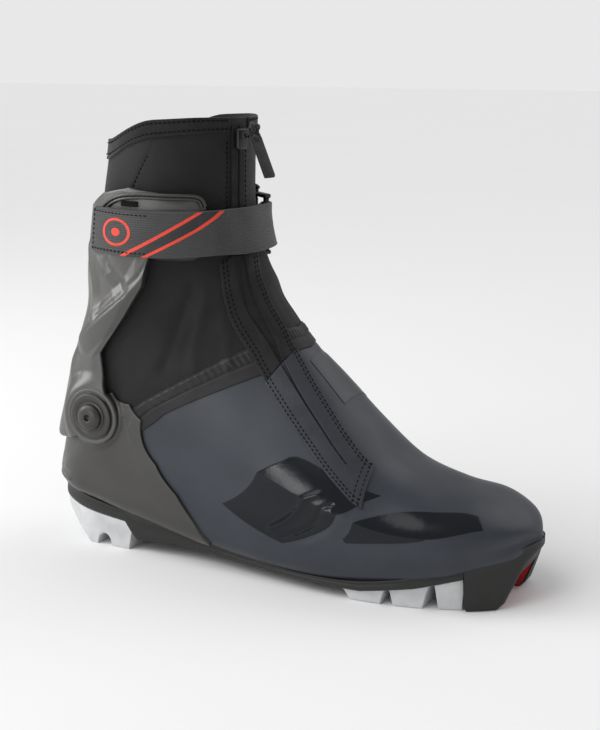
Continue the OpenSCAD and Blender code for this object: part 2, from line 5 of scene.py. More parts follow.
import bmesh
import bpy
import numpy as np
from bpy.props import FloatProperty, FloatVectorProperty, PointerProperty
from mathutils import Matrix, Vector


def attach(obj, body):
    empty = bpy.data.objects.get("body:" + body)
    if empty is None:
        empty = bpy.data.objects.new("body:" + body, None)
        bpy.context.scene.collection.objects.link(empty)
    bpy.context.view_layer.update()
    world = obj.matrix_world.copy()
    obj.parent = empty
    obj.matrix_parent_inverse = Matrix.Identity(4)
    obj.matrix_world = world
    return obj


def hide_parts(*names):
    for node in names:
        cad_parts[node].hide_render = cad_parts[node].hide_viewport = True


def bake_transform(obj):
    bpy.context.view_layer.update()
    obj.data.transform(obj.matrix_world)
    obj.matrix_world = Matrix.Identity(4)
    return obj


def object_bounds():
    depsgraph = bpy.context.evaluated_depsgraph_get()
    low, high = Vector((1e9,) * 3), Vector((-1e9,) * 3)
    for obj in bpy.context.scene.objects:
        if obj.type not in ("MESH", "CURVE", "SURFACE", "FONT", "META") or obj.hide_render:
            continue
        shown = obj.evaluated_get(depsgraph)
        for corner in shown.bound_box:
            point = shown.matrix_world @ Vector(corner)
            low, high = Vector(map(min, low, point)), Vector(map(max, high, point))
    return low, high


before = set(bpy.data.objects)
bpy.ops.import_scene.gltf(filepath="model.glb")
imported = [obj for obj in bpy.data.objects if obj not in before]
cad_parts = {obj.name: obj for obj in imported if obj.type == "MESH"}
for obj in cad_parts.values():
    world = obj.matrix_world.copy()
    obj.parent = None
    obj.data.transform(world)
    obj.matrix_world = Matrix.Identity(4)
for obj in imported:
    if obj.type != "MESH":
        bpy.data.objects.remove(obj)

CAD_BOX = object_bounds()

bl_info = {
    "name": "Skate ski boot",
    "version": (1, 0, 0),
    "blender": (4, 5, 0),
    "location": "3D View > Sidebar > Ski boot",
    "description": "Builds the upper, cuff, strap, zip and sole of a cross country ski boot",
    "category": "Object",
}

MM = 0.001  # the tables below are in millimetres, the scene in metres


# ---- The last that the boot is made round ----
# one row is one ring of the upper: top point (x, z), bottom point (x, z), half width, sideways
# shift, extra width below its middle, squareness of its underside and of its sides
LAST = np.array([
    [293, 36, 293, 35, 1.5, 5, 0.00, 0.90, 0.90],
    [288, 43, 287, 33, 16, 5, 0.00, 0.80, 0.85],
    [279, 49, 280, 30, 28, 4, 0.05, 0.70, 0.80],
    [264, 55, 270, 27, 37, 3, 0.10, 0.60, 0.80],
    [243, 59, 252, 21, 43, 1, 0.15, 0.55, 0.80],
    [217, 69, 224, 14, 46, 0, 0.18, 0.50, 0.80],
    [195, 89, 186, 10, 48, 0, 0.18, 0.50, 0.80],
    [174, 111, 138, 11, 45, 0, 0.18, 0.50, 0.80],
    [158, 127, 90, 17, 40, 0, 0.16, 0.50, 0.80],
    [147, 141, 38, 26, 37, 0, 0.12, 0.55, 0.75],
    [139, 152, 5, 32, 36, 0, 0.06, 0.75, 0.72],
    [133, 163, 4, 51, 35, 0, 0.00, 0.85, 0.72],
    [128, 174, 13, 87, 35, 0, 0.00, 0.95, 0.80],
    [124, 188, 22, 125, 35, 0, 0.00, 1.00, 0.90],
    [122, 204, 28, 162, 36, 0, 0.00, 1.00, 0.95],
    [122, 223, 34, 202, 37, 0, 0.00, 1.00, 1.00],
    [122, 244, 40, 237, 37, 0, 0.00, 1.00, 1.00],
    [122, 265, 46, 268, 37, 0, 0.00, 1.00, 1.00]], float)
END = len(LAST) - 2  # the top of the gaiter; the last row only guides the wave of its edge
LENGTH = 294.0


def spline(table, q):
    """The row of a table at the fractional row number q, on a smooth curve through the rows."""
    n = len(table) - 1
    q = np.clip(np.asarray(q, float), 0, n - 1e-4)
    i = np.floor(q).astype(int)
    t = (q - i)[..., None]
    a, b, c, d = (table[np.clip(i + k, 0, n)] for k in (-1, 0, 1, 2))
    return b + t / 2 * (c - a + t * (2 * a - 5 * b + 4 * c - d + t * (3 * b - 3 * c + d - a)))


def skin(s, a):
    """Points of the last at stations s and angles a: 0 underneath or behind, 90 medial, 180 in front."""
    s, a = np.broadcast_arrays(np.asarray(s, float), np.asarray(a, float))
    r = spline(LAST, s)
    c, w = np.cos(np.radians(a)), np.sin(np.radians(a))
    u = np.where(c > 0, 1 - np.abs(c) ** r[..., 7], 1 + np.abs(c) ** 0.95) / 2
    return np.stack([
        r[..., 2] + (r[..., 0] - r[..., 2]) * u - LENGTH / 2,
        r[..., 5] + r[..., 4] * np.sign(w) * np.abs(w) ** r[..., 8] * (1 + r[..., 6] * c),
        r[..., 3] + (r[..., 1] - r[..., 3]) * u], -1)


def facing(s, a):
    """Outward directions of the last's surface."""
    along = skin(np.minimum(s + 0.05, END + 0.9), a) - skin(np.maximum(s - 0.05, 0), a)
    n = np.cross(along, skin(s, a + 2) - skin(s, a - 2))
    return n / np.maximum(np.linalg.norm(n, axis=-1, keepdims=True), 1e-9)


def lifted(s, a, d):
    return skin(s, a) + np.asarray(d)[..., None] * facing(s, a)


def side_angle(a):
    """Angles folded to 0 to 180, the same on both sides."""
    b = np.mod(a, 360)
    return np.where(b > 180, 360 - b, b)


def ease(x, x0, x1):
    t = np.clip((np.asarray(x, float) - x0) / (x1 - x0), 0, 1)
    return t * t * (3 - 2 * t)


def bell(x, middle, width):
    """A smooth bump, 1 high at its middle."""
    return np.exp(-((x - middle) / width) ** 2)


def look(table, x):
    """Straight-line reading of a table of pairs."""
    return np.interp(x, [p[0] for p in table], [p[1] for p in table])


def edge_of(table):
    """A function of the angle that reads a table by side angle."""
    return lambda a: look(table, side_angle(a))


def station_at(a, z):
    """Stations where the surface above the ankle is at height z."""
    a, z = np.broadcast_arrays(np.asarray(a, float), np.asarray(z, float))
    low, high = np.full(a.shape, 8.0), np.full(a.shape, float(END))
    for _ in range(16):
        mid = (low + high) / 2
        under = skin(mid, a)[..., 2] < z
        low, high = np.where(under, mid, low), np.where(under, high, mid)
    return (low + high) / 2


def top_edge(a):
    """Stations of the gaiter's top edge: lower behind, higher at the sides."""
    h = side_angle(a)
    return END - 0.1 + 0.3 * ease(h, 44, 96) - 0.06 * ease(h, 120, 180)


def distance(points, path):
    """How far points, in millimetres, are from a line over the last given as stations and angles."""
    t = np.linspace(0, len(path) - 1, 24 * (len(path) - 1) + 1)
    rows = np.arange(len(path))
    line = skin(np.interp(t, rows, [p[0] for p in path]), np.interp(t, rows, [p[1] for p in path]))
    flat = points.reshape(-1, 3)
    return np.sqrt(((flat[:, None] - line[None]) ** 2).sum(-1).min(1)).reshape(points.shape[:-1])


# creases of the shell where the foot bends: line over the last, half width and height in mm
CREASES = [
    ([(6.7, 284), (6.4, 272), (6.1, 262)], 1.6, 0.55),
    ([(6.5, 287), (6.15, 275), (5.85, 264)], 1.1, -0.45),
    ([(6.2, 290), (5.9, 279), (5.6, 268)], 1.5, 0.45),
    ([(6.0, 284), (5.75, 274), (5.5, 264)], 1.0, -0.35),
    ([(5.85, 266), (5.75, 280), (5.7, 294)], 0.7, 0.2),
    ([(6.6, 76), (6.3, 92), (5.9, 104)], 1.6, 0.5),
    ([(6.2, 72), (5.9, 88), (5.6, 100)], 1.2, -0.4),
    ([(8.1, 150), (7.7, 160), (7.5, 172)], 2.2, -0.5),
    ([(8.9, 236), (9.6, 226), (10.4, 222)], 3.0, 0.7),
    ([(9.6, 246), (10.6, 236), (11.6, 228)], 3.4, 0.9),
    ([(10.4, 256), (11.2, 246), (12.2, 236)], 3.2, -0.8),
    ([(9.9, 130), (10.8, 138), (11.8, 142)], 3.2, 0.8),
    ([(10.0, 112), (10.9, 122), (11.9, 130)], 3.4, -0.8)]


def folds(s, a):
    """Soft folds and creases of the upper in millimetres, none where stiff pieces lie on it."""
    h = side_angle(a)
    turn = np.radians(a)
    points = skin(s, a)
    ankle = bell(s, 11.0, 1.5)
    total = ankle * (0.45 * np.sin(7 * turn + 1.7 * s) + 0.3 * np.sin(4.1 * s + 3 * turn))
    total += 0.16 * bell(s, 5.5, 2.2) * np.sin(2.9 * s + 5 * turn)
    for path, width, height in CREASES:
        total += height * bell(distance(points, path), 0, width)
    stiff = (1 - ease(h, 84, 108)) * ease(s, 7.0, 8.6)
    padded_zone = ease(s, 12.2, 12.9) * (1 - ease(h, 132, 150))
    return total * (1 - stiff) * (1 - padded_zone) * (1 - ease(s, 14.6, 15.4))


def seated(s, a):
    """How far the upper is drawn out over the edge of the sole, in millimetres."""
    near_edge = bell(side_angle(a), 41, 15)
    return 6.2 * near_edge * (0.35 + 0.65 * ease(s, 0.0, 2.0)) * (1 - ease(s, 9.5, 10.5))


# ---- Meshes ----
# rounded rim of a panel: share of the radius in from the edge, share of the radius down
RIM = [(0.0, 1.0), (0.134, 0.5), (0.5, 0.134)]


def add_object(name, data):
    """A new object of the scene, at the origin."""
    obj = bpy.data.objects.new(name, data)
    bpy.context.scene.collection.objects.link(obj)
    return obj


def mesh_object(name, points, faces, uv=None, smooth=True):
    """A plain mesh piece at the origin from points in millimetres."""
    mesh = bpy.data.meshes.new(name)
    mesh.from_pydata((np.asarray(points, float) * MM).tolist(), [], [list(map(int, f)) for f in faces])
    if uv is not None:
        layer = mesh.uv_layers.new(name="UVMap")
        layer.data.foreach_set("uv", np.asarray(uv, np.float32).ravel())
    mesh.validate()
    if smooth:
        mesh.shade_smooth()
    return add_object(name, mesh)


def spread(place, n, other, along, rim, ends):
    """Parameters an even length apart in one direction, closer at the ends that are rounded."""
    def point(t, f):
        return skin(*(place(t, f) if along else place(f, t)))

    t = np.linspace(0, 1, 400)
    run = np.r_[0, np.cumsum(np.linalg.norm(np.diff(point(t, np.full_like(t, 0.5)), axis=0), axis=1))]
    core = np.interp(np.linspace(0, run[-1], n + 1), run, t)
    step = 0.002
    share = []
    for end, inward, rounded in ((0.0, step, ends[0]), (1.0, -step, ends[1])):
        reach = np.linalg.norm(point(np.full_like(other, end + inward), other)
                               - point(np.full_like(other, end), other), axis=-1)
        share.append(np.minimum(rim * step / np.maximum(reach, 1e-3), 0.3) if rounded else 0 * other)
    low, high = share
    table = [x * low for x, _ in RIM] if ends[0] else []
    drops = [d for _, d in RIM] if ends[0] else []
    table += [low + (1 - low - high) * c for c in core]
    drops += [0.0] * len(core)
    if ends[1]:
        table += [1 - x * high for x, _ in reversed(RIM)]
        drops += [d for _, d in reversed(RIM)]
    return np.array(table), np.array(drops), run[-1]


def shell(name, place, nu, nv, outer, inner, rim=0.35, closed=False, cap=0.0, soft=True, shape=None,
          mark=None, meets=(False, False)):
    """A panel with thickness that lies on the last. place turns (u, v), each 0 to 1, into stations
    and angles; outer and inner are heights over the last, as numbers or functions of (s, a, u, v).
    mark gives each point the number of an attribute called zone, and meets says which of its low
    and high ends run on into another panel and so stay square."""
    other = np.array([0.5])
    v_mid, _, girth = spread(place, nv, other, False, rim, (not closed, not closed))
    u, u_drop, reach = spread(place, nu, v_mid[:, 0], True, rim, (cap == 0 and not meets[0], not meets[1]))
    v, v_drop, _ = spread(place, nv, u.mean(1), False, rim, (not closed, not closed))
    v = v.T
    drop = rim * np.maximum(u_drop[:, None], v_drop[None, :])
    if closed:
        seam_uv = v[:, -1:]
        u, v, drop = u[:, :-1], v[:, :-1], drop[:, :-1]
    rows, cols = u.shape

    def surface(uu, height, sink):
        s, a = place(uu, v)
        h = height(s, a, uu, v) if callable(height) else np.full(s.shape, float(height))
        if soft:
            h = h + folds(s, a)
        return lifted(s, a, h - sink)

    top = surface(u, outer, drop)
    bottom = surface(u if cap == 0 else cap + u * (1 - cap), inner, 0 * drop)
    if shape:
        top, bottom = shape(top, True), shape(bottom, False)
    points = [top.reshape(-1, 3), bottom.reshape(-1, 3)]
    wide = cols + 1 if closed else cols
    metres = np.stack([
        (np.concatenate([v, seam_uv], 1) if closed else v) * girth * MM,
        (np.concatenate([u, u[:, :1]], 1) if closed else u) * reach * MM], -1).reshape(-1, 2)
    m = rows * cols
    faces, corners = [], []

    def quad(*refs):
        faces.append([side * m + i * cols + j % cols for side, i, j in refs])
        corners.extend(i * wide + j for _, i, j in refs)

    round_faces = cols if closed else cols - 1
    for i in range(rows - 1):
        for j in range(round_faces):
            quad((0, i, j), (0, i + 1, j), (0, i + 1, j + 1), (0, i, j + 1))
            quad((1, i, j), (1, i, j + 1), (1, i + 1, j + 1), (1, i + 1, j))
    last = rows - 1
    for j in range(round_faces):
        quad((0, last, j), (1, last, j), (1, last, j + 1), (0, last, j + 1))
        if cap == 0:
            quad((0, 0, j), (0, 0, j + 1), (1, 0, j + 1), (1, 0, j))
    if not closed:
        for i in range(rows - 1):
            quad((0, i, 0), (1, i, 0), (1, i + 1, 0), (0, i + 1, 0))
            quad((0, i, cols - 1), (0, i + 1, cols - 1), (1, i + 1, cols - 1), (1, i, cols - 1))
    if cap > 0:
        points += [top[0].mean(0)[None], bottom[0].mean(0)[None]]
        for j in range(round_faces):
            k = (j + 1) % cols
            faces.append([j, k, 2 * m])
            faces.append([m + k, m + j, 2 * m + 1])
            corners.extend([j, j + 1, j, j + 1, j, j])
    obj = mesh_object(name, np.concatenate(points), faces, metres[corners])
    if any(meets):
        obj.data.set_sharp_from_angle(angle=math.radians(60))
    if mark:
        values = np.ravel(mark(*place(u, v)))
        zone = obj.data.attributes.new("zone", "FLOAT", "POINT")
        zone.data.foreach_set("value", np.concatenate([values, values]).astype(np.float32))
    return obj


def turn_place(low, high, a0, a1):
    """A place function from edge stations low(a) to high(a) and angles a0 to a1."""
    def place(u, v):
        a = a0 + (a1 - a0) * v
        return low(a) + (high(a) - low(a)) * u, a
    return place


def tube(name, path, radius, sides=10, closed=False):
    """A round cord through points in millimetres."""
    path = np.asarray(path, float)
    n = len(path)
    ahead = np.roll(path, -1, 0) - np.roll(path, 1, 0)
    if not closed:
        ahead[0], ahead[-1] = path[1] - path[0], path[-1] - path[-2]
    ahead /= np.linalg.norm(ahead, axis=1, keepdims=True)
    across = np.cross(ahead[0], [0.3, 0.9, 0.2])
    points = []
    for k in range(n):
        across = across - ahead[k] * np.dot(across, ahead[k])
        across /= np.linalg.norm(across)
        other = np.cross(ahead[k], across)
        for t in np.linspace(0, 2 * math.pi, sides, endpoint=False):
            points.append(path[k] + radius * (math.cos(t) * across + math.sin(t) * other))
    faces = [[i * sides + j, i * sides + (j + 1) % sides,
              (i + 1) % n * sides + (j + 1) % sides, (i + 1) % n * sides + j]
             for i in range(n if closed else n - 1) for j in range(sides)]
    if not closed:
        faces += [list(range(sides))[::-1], [(n - 1) * sides + j for j in range(sides)]]
    return mesh_object(name, points, faces)


def turned(name, profile, sides, place, hexagon=0, ring=False):
    """A turned piece: profile is radius and distance along the axis, and place(x, y, along) puts a
    point of it into the boot. The last rings, as many as hexagon says, are six-sided, and ring
    leaves a bore."""
    points, faces = [], []
    rings = len(profile)
    for i, (r, along) in enumerate(profile):
        for j in range(sides):
            turn = 2 * math.pi * j / sides
            size = r
            if i >= rings - hexagon:
                size = r / math.cos((turn + math.pi / 6) % (math.pi / 3) - math.pi / 6)
            points.append(place(size * math.cos(turn), size * math.sin(turn), along))
    for i in range(rings if ring else rings - 1):
        for j in range(sides):
            k, n = (j + 1) % sides, (i + 1) % rings
            faces.append([i * sides + j, n * sides + j, n * sides + k, i * sides + k])
    if not ring:
        faces.append(list(range(sides)))
        faces.append([(rings - 1) * sides + j for j in range(sides)][::-1])
    return outward(mesh_object(name, points, faces))


def on_pivot(name, profile, side, **how):
    """A turned piece on the ankle pivot's axis, side -1 lateral and 1 medial."""
    return turned(name, profile, 72, lambda x, z, y: [PIVOT_X + x, side * y, PIVOT_Z + z], **how)


def outward(obj):
    """Merges doubles of a closed mesh and turns its faces outwards."""
    bm = bmesh.new()
    bm.from_mesh(obj.data)
    bmesh.ops.remove_doubles(bm, verts=bm.verts, dist=1e-6)
    bmesh.ops.recalc_face_normals(bm, faces=bm.faces)
    bm.to_mesh(obj.data)
    bm.free()
    return obj


def about_z(turn):
    """The 3 by 3 matrix of a turn about the vertical."""
    c, w = math.cos(turn), math.sin(turn)
    return np.array([[c, -w, 0], [w, c, 0], [0, 0, 1]])


def block(name, size, middle, turn):
    """A box of size mm round a middle point, turned by a 3 by 3 matrix."""
    signs = np.array([[x, y, z] for x in (-1, 1) for y in (-1, 1) for z in (-1, 1)], float)
    corners = signs * np.array(size) / 2 @ np.asarray(turn).T
    faces = [[0, 1, 3, 2], [4, 6, 7, 5], [0, 4, 5, 1], [2, 3, 7, 6], [0, 2, 6, 4], [1, 5, 7, 3]]
    return outward(mesh_object(name, corners + np.array(middle), faces, smooth=False))


def soften(obj, width):
    """Rounds the sharp edges of a piece, leaves a plain mesh and shades it smooth between its edges."""
    bevel = obj.modifiers.new("Rounded edges", "BEVEL")
    bevel.width = width * MM
    bevel.segments = 3
    bevel.limit_method = "ANGLE"
    bevel.angle_limit = math.radians(30)
    bpy.context.view_layer.update()
    done = bpy.data.meshes.new_from_object(obj.evaluated_get(bpy.context.evaluated_depsgraph_get()))
    obj.modifiers.clear()
    obj.data = done
    done.shade_smooth()
    done.set_sharp_from_angle(angle=math.radians(40))
    return obj


def joined(name, parts):
    """One piece made of several meshes."""
    bm = bmesh.new()
    for part in parts:
        bm.from_mesh(part.data)
    mesh = bpy.data.meshes.new(name)
    bm.to_mesh(mesh)
    bm.free()
    for part in parts:
        bpy.data.objects.remove(part)
    return add_object(name, mesh)


def place_piece(obj, body, material, slot, *nodes):
    """Gives a finished piece its material and body, and hides the frame nodes that it stands for; slot is not
    used.
    """
    if material is not None:
        obj.data.materials.clear()
        obj.data.materials.append(material)
    if isinstance(body, str):
        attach(obj, body)
    else:
        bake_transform(obj)
        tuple(ANKLE_START)
        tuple(ANKLE_END)
    if nodes:
        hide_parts(*nodes)
    return obj


# ---- Geometry Nodes ----
def node(tree, kind, links=None, **settings):
    """Adds a node with its settings; links gives each named input a value or an output to follow."""
    made = tree.nodes.new(kind)
    for key, value in settings.items():
        setattr(made, key, value)
    for socket, value in (links or {}).items():
        target = made.inputs[socket]
        if isinstance(value, bpy.types.NodeSocket):
            tree.links.new(value, target)
        else:
            target.default_value = value
    return made


def item_tree(name, sizes, build):
    """A tree with a mesh, the named sizes and a material as its inputs, made once: build(tree, given)
    gives the points, their rotation, the item, its size and, if it stays, the mesh underneath."""
    if name in bpy.data.node_groups:
        return bpy.data.node_groups[name]
    tree = bpy.data.node_groups.new(name, "GeometryNodeTree")
    for label in ("Geometry", *sizes, "Material"):
        kind = "Float" if label in sizes else label
        tree.interface.new_socket(label, in_out="INPUT", socket_type="NodeSocket" + kind)
    tree.interface.new_socket("Geometry", in_out="OUTPUT", socket_type="NodeSocketGeometry")
    given = node(tree, "NodeGroupInput").outputs
    points, rotation, item, (x, y, z), under = build(tree, given)
    size = node(tree, "ShaderNodeCombineXYZ", {"X": given[x], "Y": given[y], "Z": given[z]})
    items = node(tree, "GeometryNodeInstanceOnPoints", {
        "Points": points, "Instance": item.outputs["Mesh"], "Rotation": rotation, "Scale": size.outputs[0]})
    real = node(tree, "GeometryNodeRealizeInstances", {"Geometry": items.outputs[0]})
    if under is None:
        whole = node(tree, "GeometryNodeSetShadeSmooth", {"Geometry": real.outputs[0]})
    else:
        whole = node(tree, "GeometryNodeJoinGeometry", {"Geometry": real.outputs[0]})
        tree.links.new(under, whole.inputs["Geometry"])
    painted = node(tree, "GeometryNodeSetMaterial", {
        "Geometry": whole.outputs[0], "Material": given["Material"]})
    node(tree, "NodeGroupOutput", {"Geometry": painted.outputs[0]})
    return tree


def repeat_tree():
    """A tree that sets small rounded items along edge paths, an even spacing apart."""
    def build(tree, given):
        curve = node(tree, "GeometryNodeMeshToCurve", {"Mesh": given["Geometry"]})
        even = node(tree, "GeometryNodeResampleCurve", {
            "Curve": curve.outputs[0], "Length": given["Spacing"]}, mode="LENGTH")
        tangent = node(tree, "GeometryNodeInputTangent")
        out = node(tree, "GeometryNodeInputNamedAttribute", {"Name": "out"}, data_type="FLOAT_VECTOR")
        first = node(tree, "FunctionNodeAlignRotationToVector", {"Vector": tangent.outputs[0]}, axis="X")
        second = node(tree, "FunctionNodeAlignRotationToVector", {
            "Rotation": first.outputs[0], "Vector": out.outputs["Attribute"]}, axis="Z", pivot_axis="X")
        item = node(tree, "GeometryNodeMeshUVSphere", {"Segments": 6, "Rings": 4, "Radius": 0.5})
        return even.outputs[0], second.outputs[0], item, ("Length", "Width", "Height"), None

    return item_tree("Items along a path", ("Spacing", "Length", "Width", "Height"), build)


def pile_tree():
    """A tree that stands short hooks all over a patch, the same ones each time."""
    def build(tree, given):
        dots = node(tree, "GeometryNodeDistributePointsOnFaces", {
            "Mesh": given["Geometry"], "Distance Min": given["Spacing"], "Density Max": 4e6, "Seed": 3},
            distribute_method="POISSON")
        item = node(tree, "GeometryNodeMeshCone", {
            "Vertices": 5, "Radius Top": 0.6, "Radius Bottom": 0.4, "Depth": 1.0})
        return (dots.outputs["Points"], dots.outputs["Rotation"], item, ("Width", "Width", "Length"),
                given["Geometry"])

    return item_tree("Hooks on a patch", ("Spacing", "Length", "Width"), build)


def grown(name, base, tree, **inputs):
    """The plain mesh that a tree makes of a base piece; the base goes."""
    modifier = base.modifiers.new(tree.name, "NODES")
    modifier.node_group = tree
    for item in tree.interface.items_tree:
        if item.item_type == "SOCKET" and item.in_out == "INPUT" and item.name in inputs:
            modifier[item.identifier] = inputs[item.name]
    bpy.context.view_layer.update()
    mesh = bpy.data.meshes.new_from_object(base.evaluated_get(bpy.context.evaluated_depsgraph_get()))
    if not len(mesh.polygons):
        raise RuntimeError(f"{name}: the tree made nothing")
    mesh.name = name
    obj = add_object(name, mesh)
    bpy.data.objects.remove(base)
    return obj


def rows_over(name, rows, material, spacing, length, width, height, soft=True):
    """Small items along rows over the last, each row its stations, angles and heights; any of the
    three may be one number."""
    points, edges, out = [], [], []
    for row in rows:
        s, a, d = np.broadcast_arrays(*(np.asarray(x, float) for x in row))
        d = d + (folds(s, a) if soft else 0)
        first = len(points)
        points += list(lifted(s, a, d) * MM)
        out += list(facing(s, a))
        edges += [(first + k, first + k + 1) for k in range(len(s) - 1)]
    mesh = bpy.data.meshes.new(name + "_path")
    mesh.from_pydata([list(p) for p in points], edges, [])
    outs = mesh.attributes.new("out", "FLOAT_VECTOR", "POINT")
    outs.data.foreach_set("vector", np.ravel(out).astype(np.float32))
    return grown(name, add_object(name + "_path", mesh), repeat_tree(), Spacing=spacing * MM,
                 Length=length * MM, Width=width * MM, Height=height * MM, Material=material)


# ---- Materials ----
def linear(code):
    """An sRGB hex colour as linear red, green, blue and alpha; a setting's colour is linear already."""
    if not isinstance(code, str):
        return list(code)
    values = [int(code[k:k + 2], 16) / 255 for k in (1, 3, 5)]
    return [v / 12.92 if v <= 0.04045 else ((v + 0.055) / 1.055) ** 2.4 for v in values] + [1.0]


def finish(name, colour, other=None, patch=20.0, roughness=0.5, vary=0.08, weave=None, pitch=1.0, depth=0.1,
           grain=0.0, grain_depth=0.0, uv=False, sheen=0.0, metallic=0.0, specular=0.5, worn=None, zone=None,
           thread=None, stretch=(1, 1, 1)):
    """A finish in real sizes: colour patches and grain in mm, a weave of that pitch and depth in mm,
    worn is the colour of rubbed edges, zone an attribute and the colour where it is over nought."""
    if name in bpy.data.materials:
        return bpy.data.materials[name]
    material = bpy.data.materials.new(name)
    material.use_nodes = True
    tree = material.node_tree
    tree.nodes.clear()
    coords = node(tree, "ShaderNodeTexCoord")
    scale = 1 / MM
    place = node(tree, "ShaderNodeMapping", {
        "Vector": coords.outputs["UV" if uv else "Object"], "Scale": tuple(scale * k for k in stretch)})
    vector = place.outputs[0]
    whole = node(tree, "ShaderNodeMapping", {
        "Vector": coords.outputs["Object"], "Scale": (scale,) * 3}).outputs[0]
    cloud = node(tree, "ShaderNodeTexNoise", {"Vector": whole, "Scale": 1 / patch, "Detail": 4.0})
    tone = cloud.outputs["Fac"]
    shade = node(tree, "ShaderNodeMix", data_type="RGBA")
    shade.inputs[6].default_value = linear(colour)
    shade.inputs[7].default_value = linear(other or colour)
    contrast = node(tree, "ShaderNodeMapRange", {"Value": tone, "From Min": 0.35, "From Max": 0.65})
    tree.links.new(contrast.outputs[0], shade.inputs[0])
    paint = shade.outputs[2]
    if zone:
        attribute = node(tree, "ShaderNodeAttribute", attribute_name=zone[0])
        over = node(tree, "ShaderNodeMath", {0: attribute.outputs["Fac"], 1: 0.0}, operation="GREATER_THAN")
        paint = node(tree, "ShaderNodeMix", {0: over.outputs[0], 6: paint, 7: linear(zone[1])},
                     data_type="RGBA").outputs[2]
    height = None
    if weave:
        rate = 2 * math.pi / (20 * pitch)
        if weave == "twill":
            made = node(tree, "ShaderNodeTexWave", {
                "Vector": vector, "Scale": 2 * rate, "Distortion": 1.2, "Detail": 2.0, "Detail Scale": 0.4},
                bands_direction="DIAGONAL")
            pattern = made.outputs["Fac"]
        elif weave == "plain":
            x, y = (node(tree, "ShaderNodeTexWave", {"Vector": vector, "Scale": rate, "Distortion": 0.4},
                         bands_direction=axis).outputs["Fac"] for axis in "XY")
            pattern = node(tree, "ShaderNodeMath", {0: x, 1: y}, operation="MULTIPLY").outputs[0]
        elif weave == "ribs":
            ribs = node(tree, "ShaderNodeTexWave", {
                "Vector": vector, "Scale": rate, "Distortion": 0.5, "Detail": 1.0, "Detail Scale": 0.6},
                bands_direction="Y").outputs["Fac"]
            threads = node(tree, "ShaderNodeTexWave", {"Vector": vector, "Scale": rate * 1.7},
                           bands_direction="X").outputs["Fac"]
            pattern = node(tree, "ShaderNodeMath", {0: threads, 1: 0.35, 2: ribs},
                           operation="MULTIPLY_ADD").outputs[0]
        else:  # knit
            cells = node(tree, "ShaderNodeTexVoronoi", {"Vector": vector, "Scale": 1 / pitch})
            pattern = cells.outputs["Distance"]
        height = node(tree, "ShaderNodeBump", {"Height": pattern, "Distance": depth * MM, "Strength": 1.0})
        if thread:
            fibre = node(tree, "ShaderNodeMix", {0: pattern, 6: paint}, data_type="RGBA", blend_type="MIX")
            fibre.inputs[7].default_value = linear(thread)
            soft = node(tree, "ShaderNodeMath", {0: pattern, 1: 0.45}, operation="MULTIPLY")
            tree.links.new(soft.outputs[0], fibre.inputs[0])
            paint = fibre.outputs[2]
    if grain:
        fine = node(tree, "ShaderNodeTexNoise", {"Vector": whole, "Scale": 1 / grain, "Detail": 3.0})
        links = {"Height": fine.outputs["Fac"], "Distance": grain_depth * MM, "Strength": 1.0}
        if height:
            links["Normal"] = height.outputs[0]
        height = node(tree, "ShaderNodeBump", links)
    if worn:
        edge = node(tree, "ShaderNodeNewGeometry")
        rubbed = node(tree, "ShaderNodeMapRange", {
            "Value": edge.outputs["Pointiness"], "From Min": 0.52, "From Max": 0.6, "To Max": 0.5})
        paint = node(tree, "ShaderNodeMix", {0: rubbed.outputs[0], 6: paint, 7: linear(worn)},
                     data_type="RGBA").outputs[2]
    rough = node(tree, "ShaderNodeMapRange", {
        "Value": tone, "From Min": 0.3, "From Max": 0.7,
        "To Min": max(roughness - vary, 0.02), "To Max": min(roughness + vary, 1.0)})
    shader = node(tree, "ShaderNodeBsdfPrincipled", {
        "Base Color": paint, "Roughness": rough.outputs[0], "Metallic": metallic,
        "Specular IOR Level": specular, "Sheen Weight": sheen, "Sheen Roughness": 0.45})
    if height:
        tree.links.new(height.outputs[0], shader.inputs["Normal"])
    node(tree, "ShaderNodeOutputMaterial", {"Surface": shader.outputs[0]})
    return material


# ---- Settings ----
def swatch(label, text, code):
    return FloatVectorProperty(name=label, description=text, subtype="COLOR", size=4, min=0, max=1,
                               default=linear(code))


def measure(label, text, size):
    return FloatProperty(name=label, description=text, subtype="DISTANCE", unit="LENGTH", min=0,
                         default=size * MM, precision=5)


class BootColours(bpy.types.PropertyGroup):
    gaiter: swatch("Gaiter", "Stretch twill of the gaiter", "#1e1e1f")
    neoprene: swatch("Back panel", "Smooth neoprene at the back of the gaiter", "#1c1c1d")
    shell: swatch("Shell", "Coated fabric over the foot", "#31353d")
    film: swatch("Film", "Gloss film patches", "#090c15")
    counter: swatch("Heel counter", "Moulded heel counter", "#353431")
    cuff: swatch("Cuff", "Moulded cuff", "#363531")
    webbing: swatch("Webbing", "Woven strap", "#303030")
    print: swatch("Print", "Printed stripes of the strap", "#e8402a")
    sole: swatch("Sole", "Black sole rubber", "#232322")
    tread: swatch("Tread", "Light grey tread rubber", "#c9cacb")
    lining: swatch("Toe lining", "Red lining between the ears of the toe", "#c40d10")


class BootSizes(bpy.types.PropertyGroup):
    stitch: measure("Stitch", "Length of one stitch", 1.9)
    stitch_gap: measure("Stitch spacing", "From one stitch to the next", 2.6)
    thread: measure("Thread", "Thickness of the sewing thread", 0.8)
    coil: measure("Zip pitch", "From one turn of the zip's coil to the next", 1.1)
    twill: measure("Twill pitch", "Spacing of the twill's diagonals", 0.9)
    rib: measure("Strap rib", "Spacing of the strap's woven ribs", 1.25)
    edge: measure("Plastic edge", "Radius of the moulded edges", 0.6)


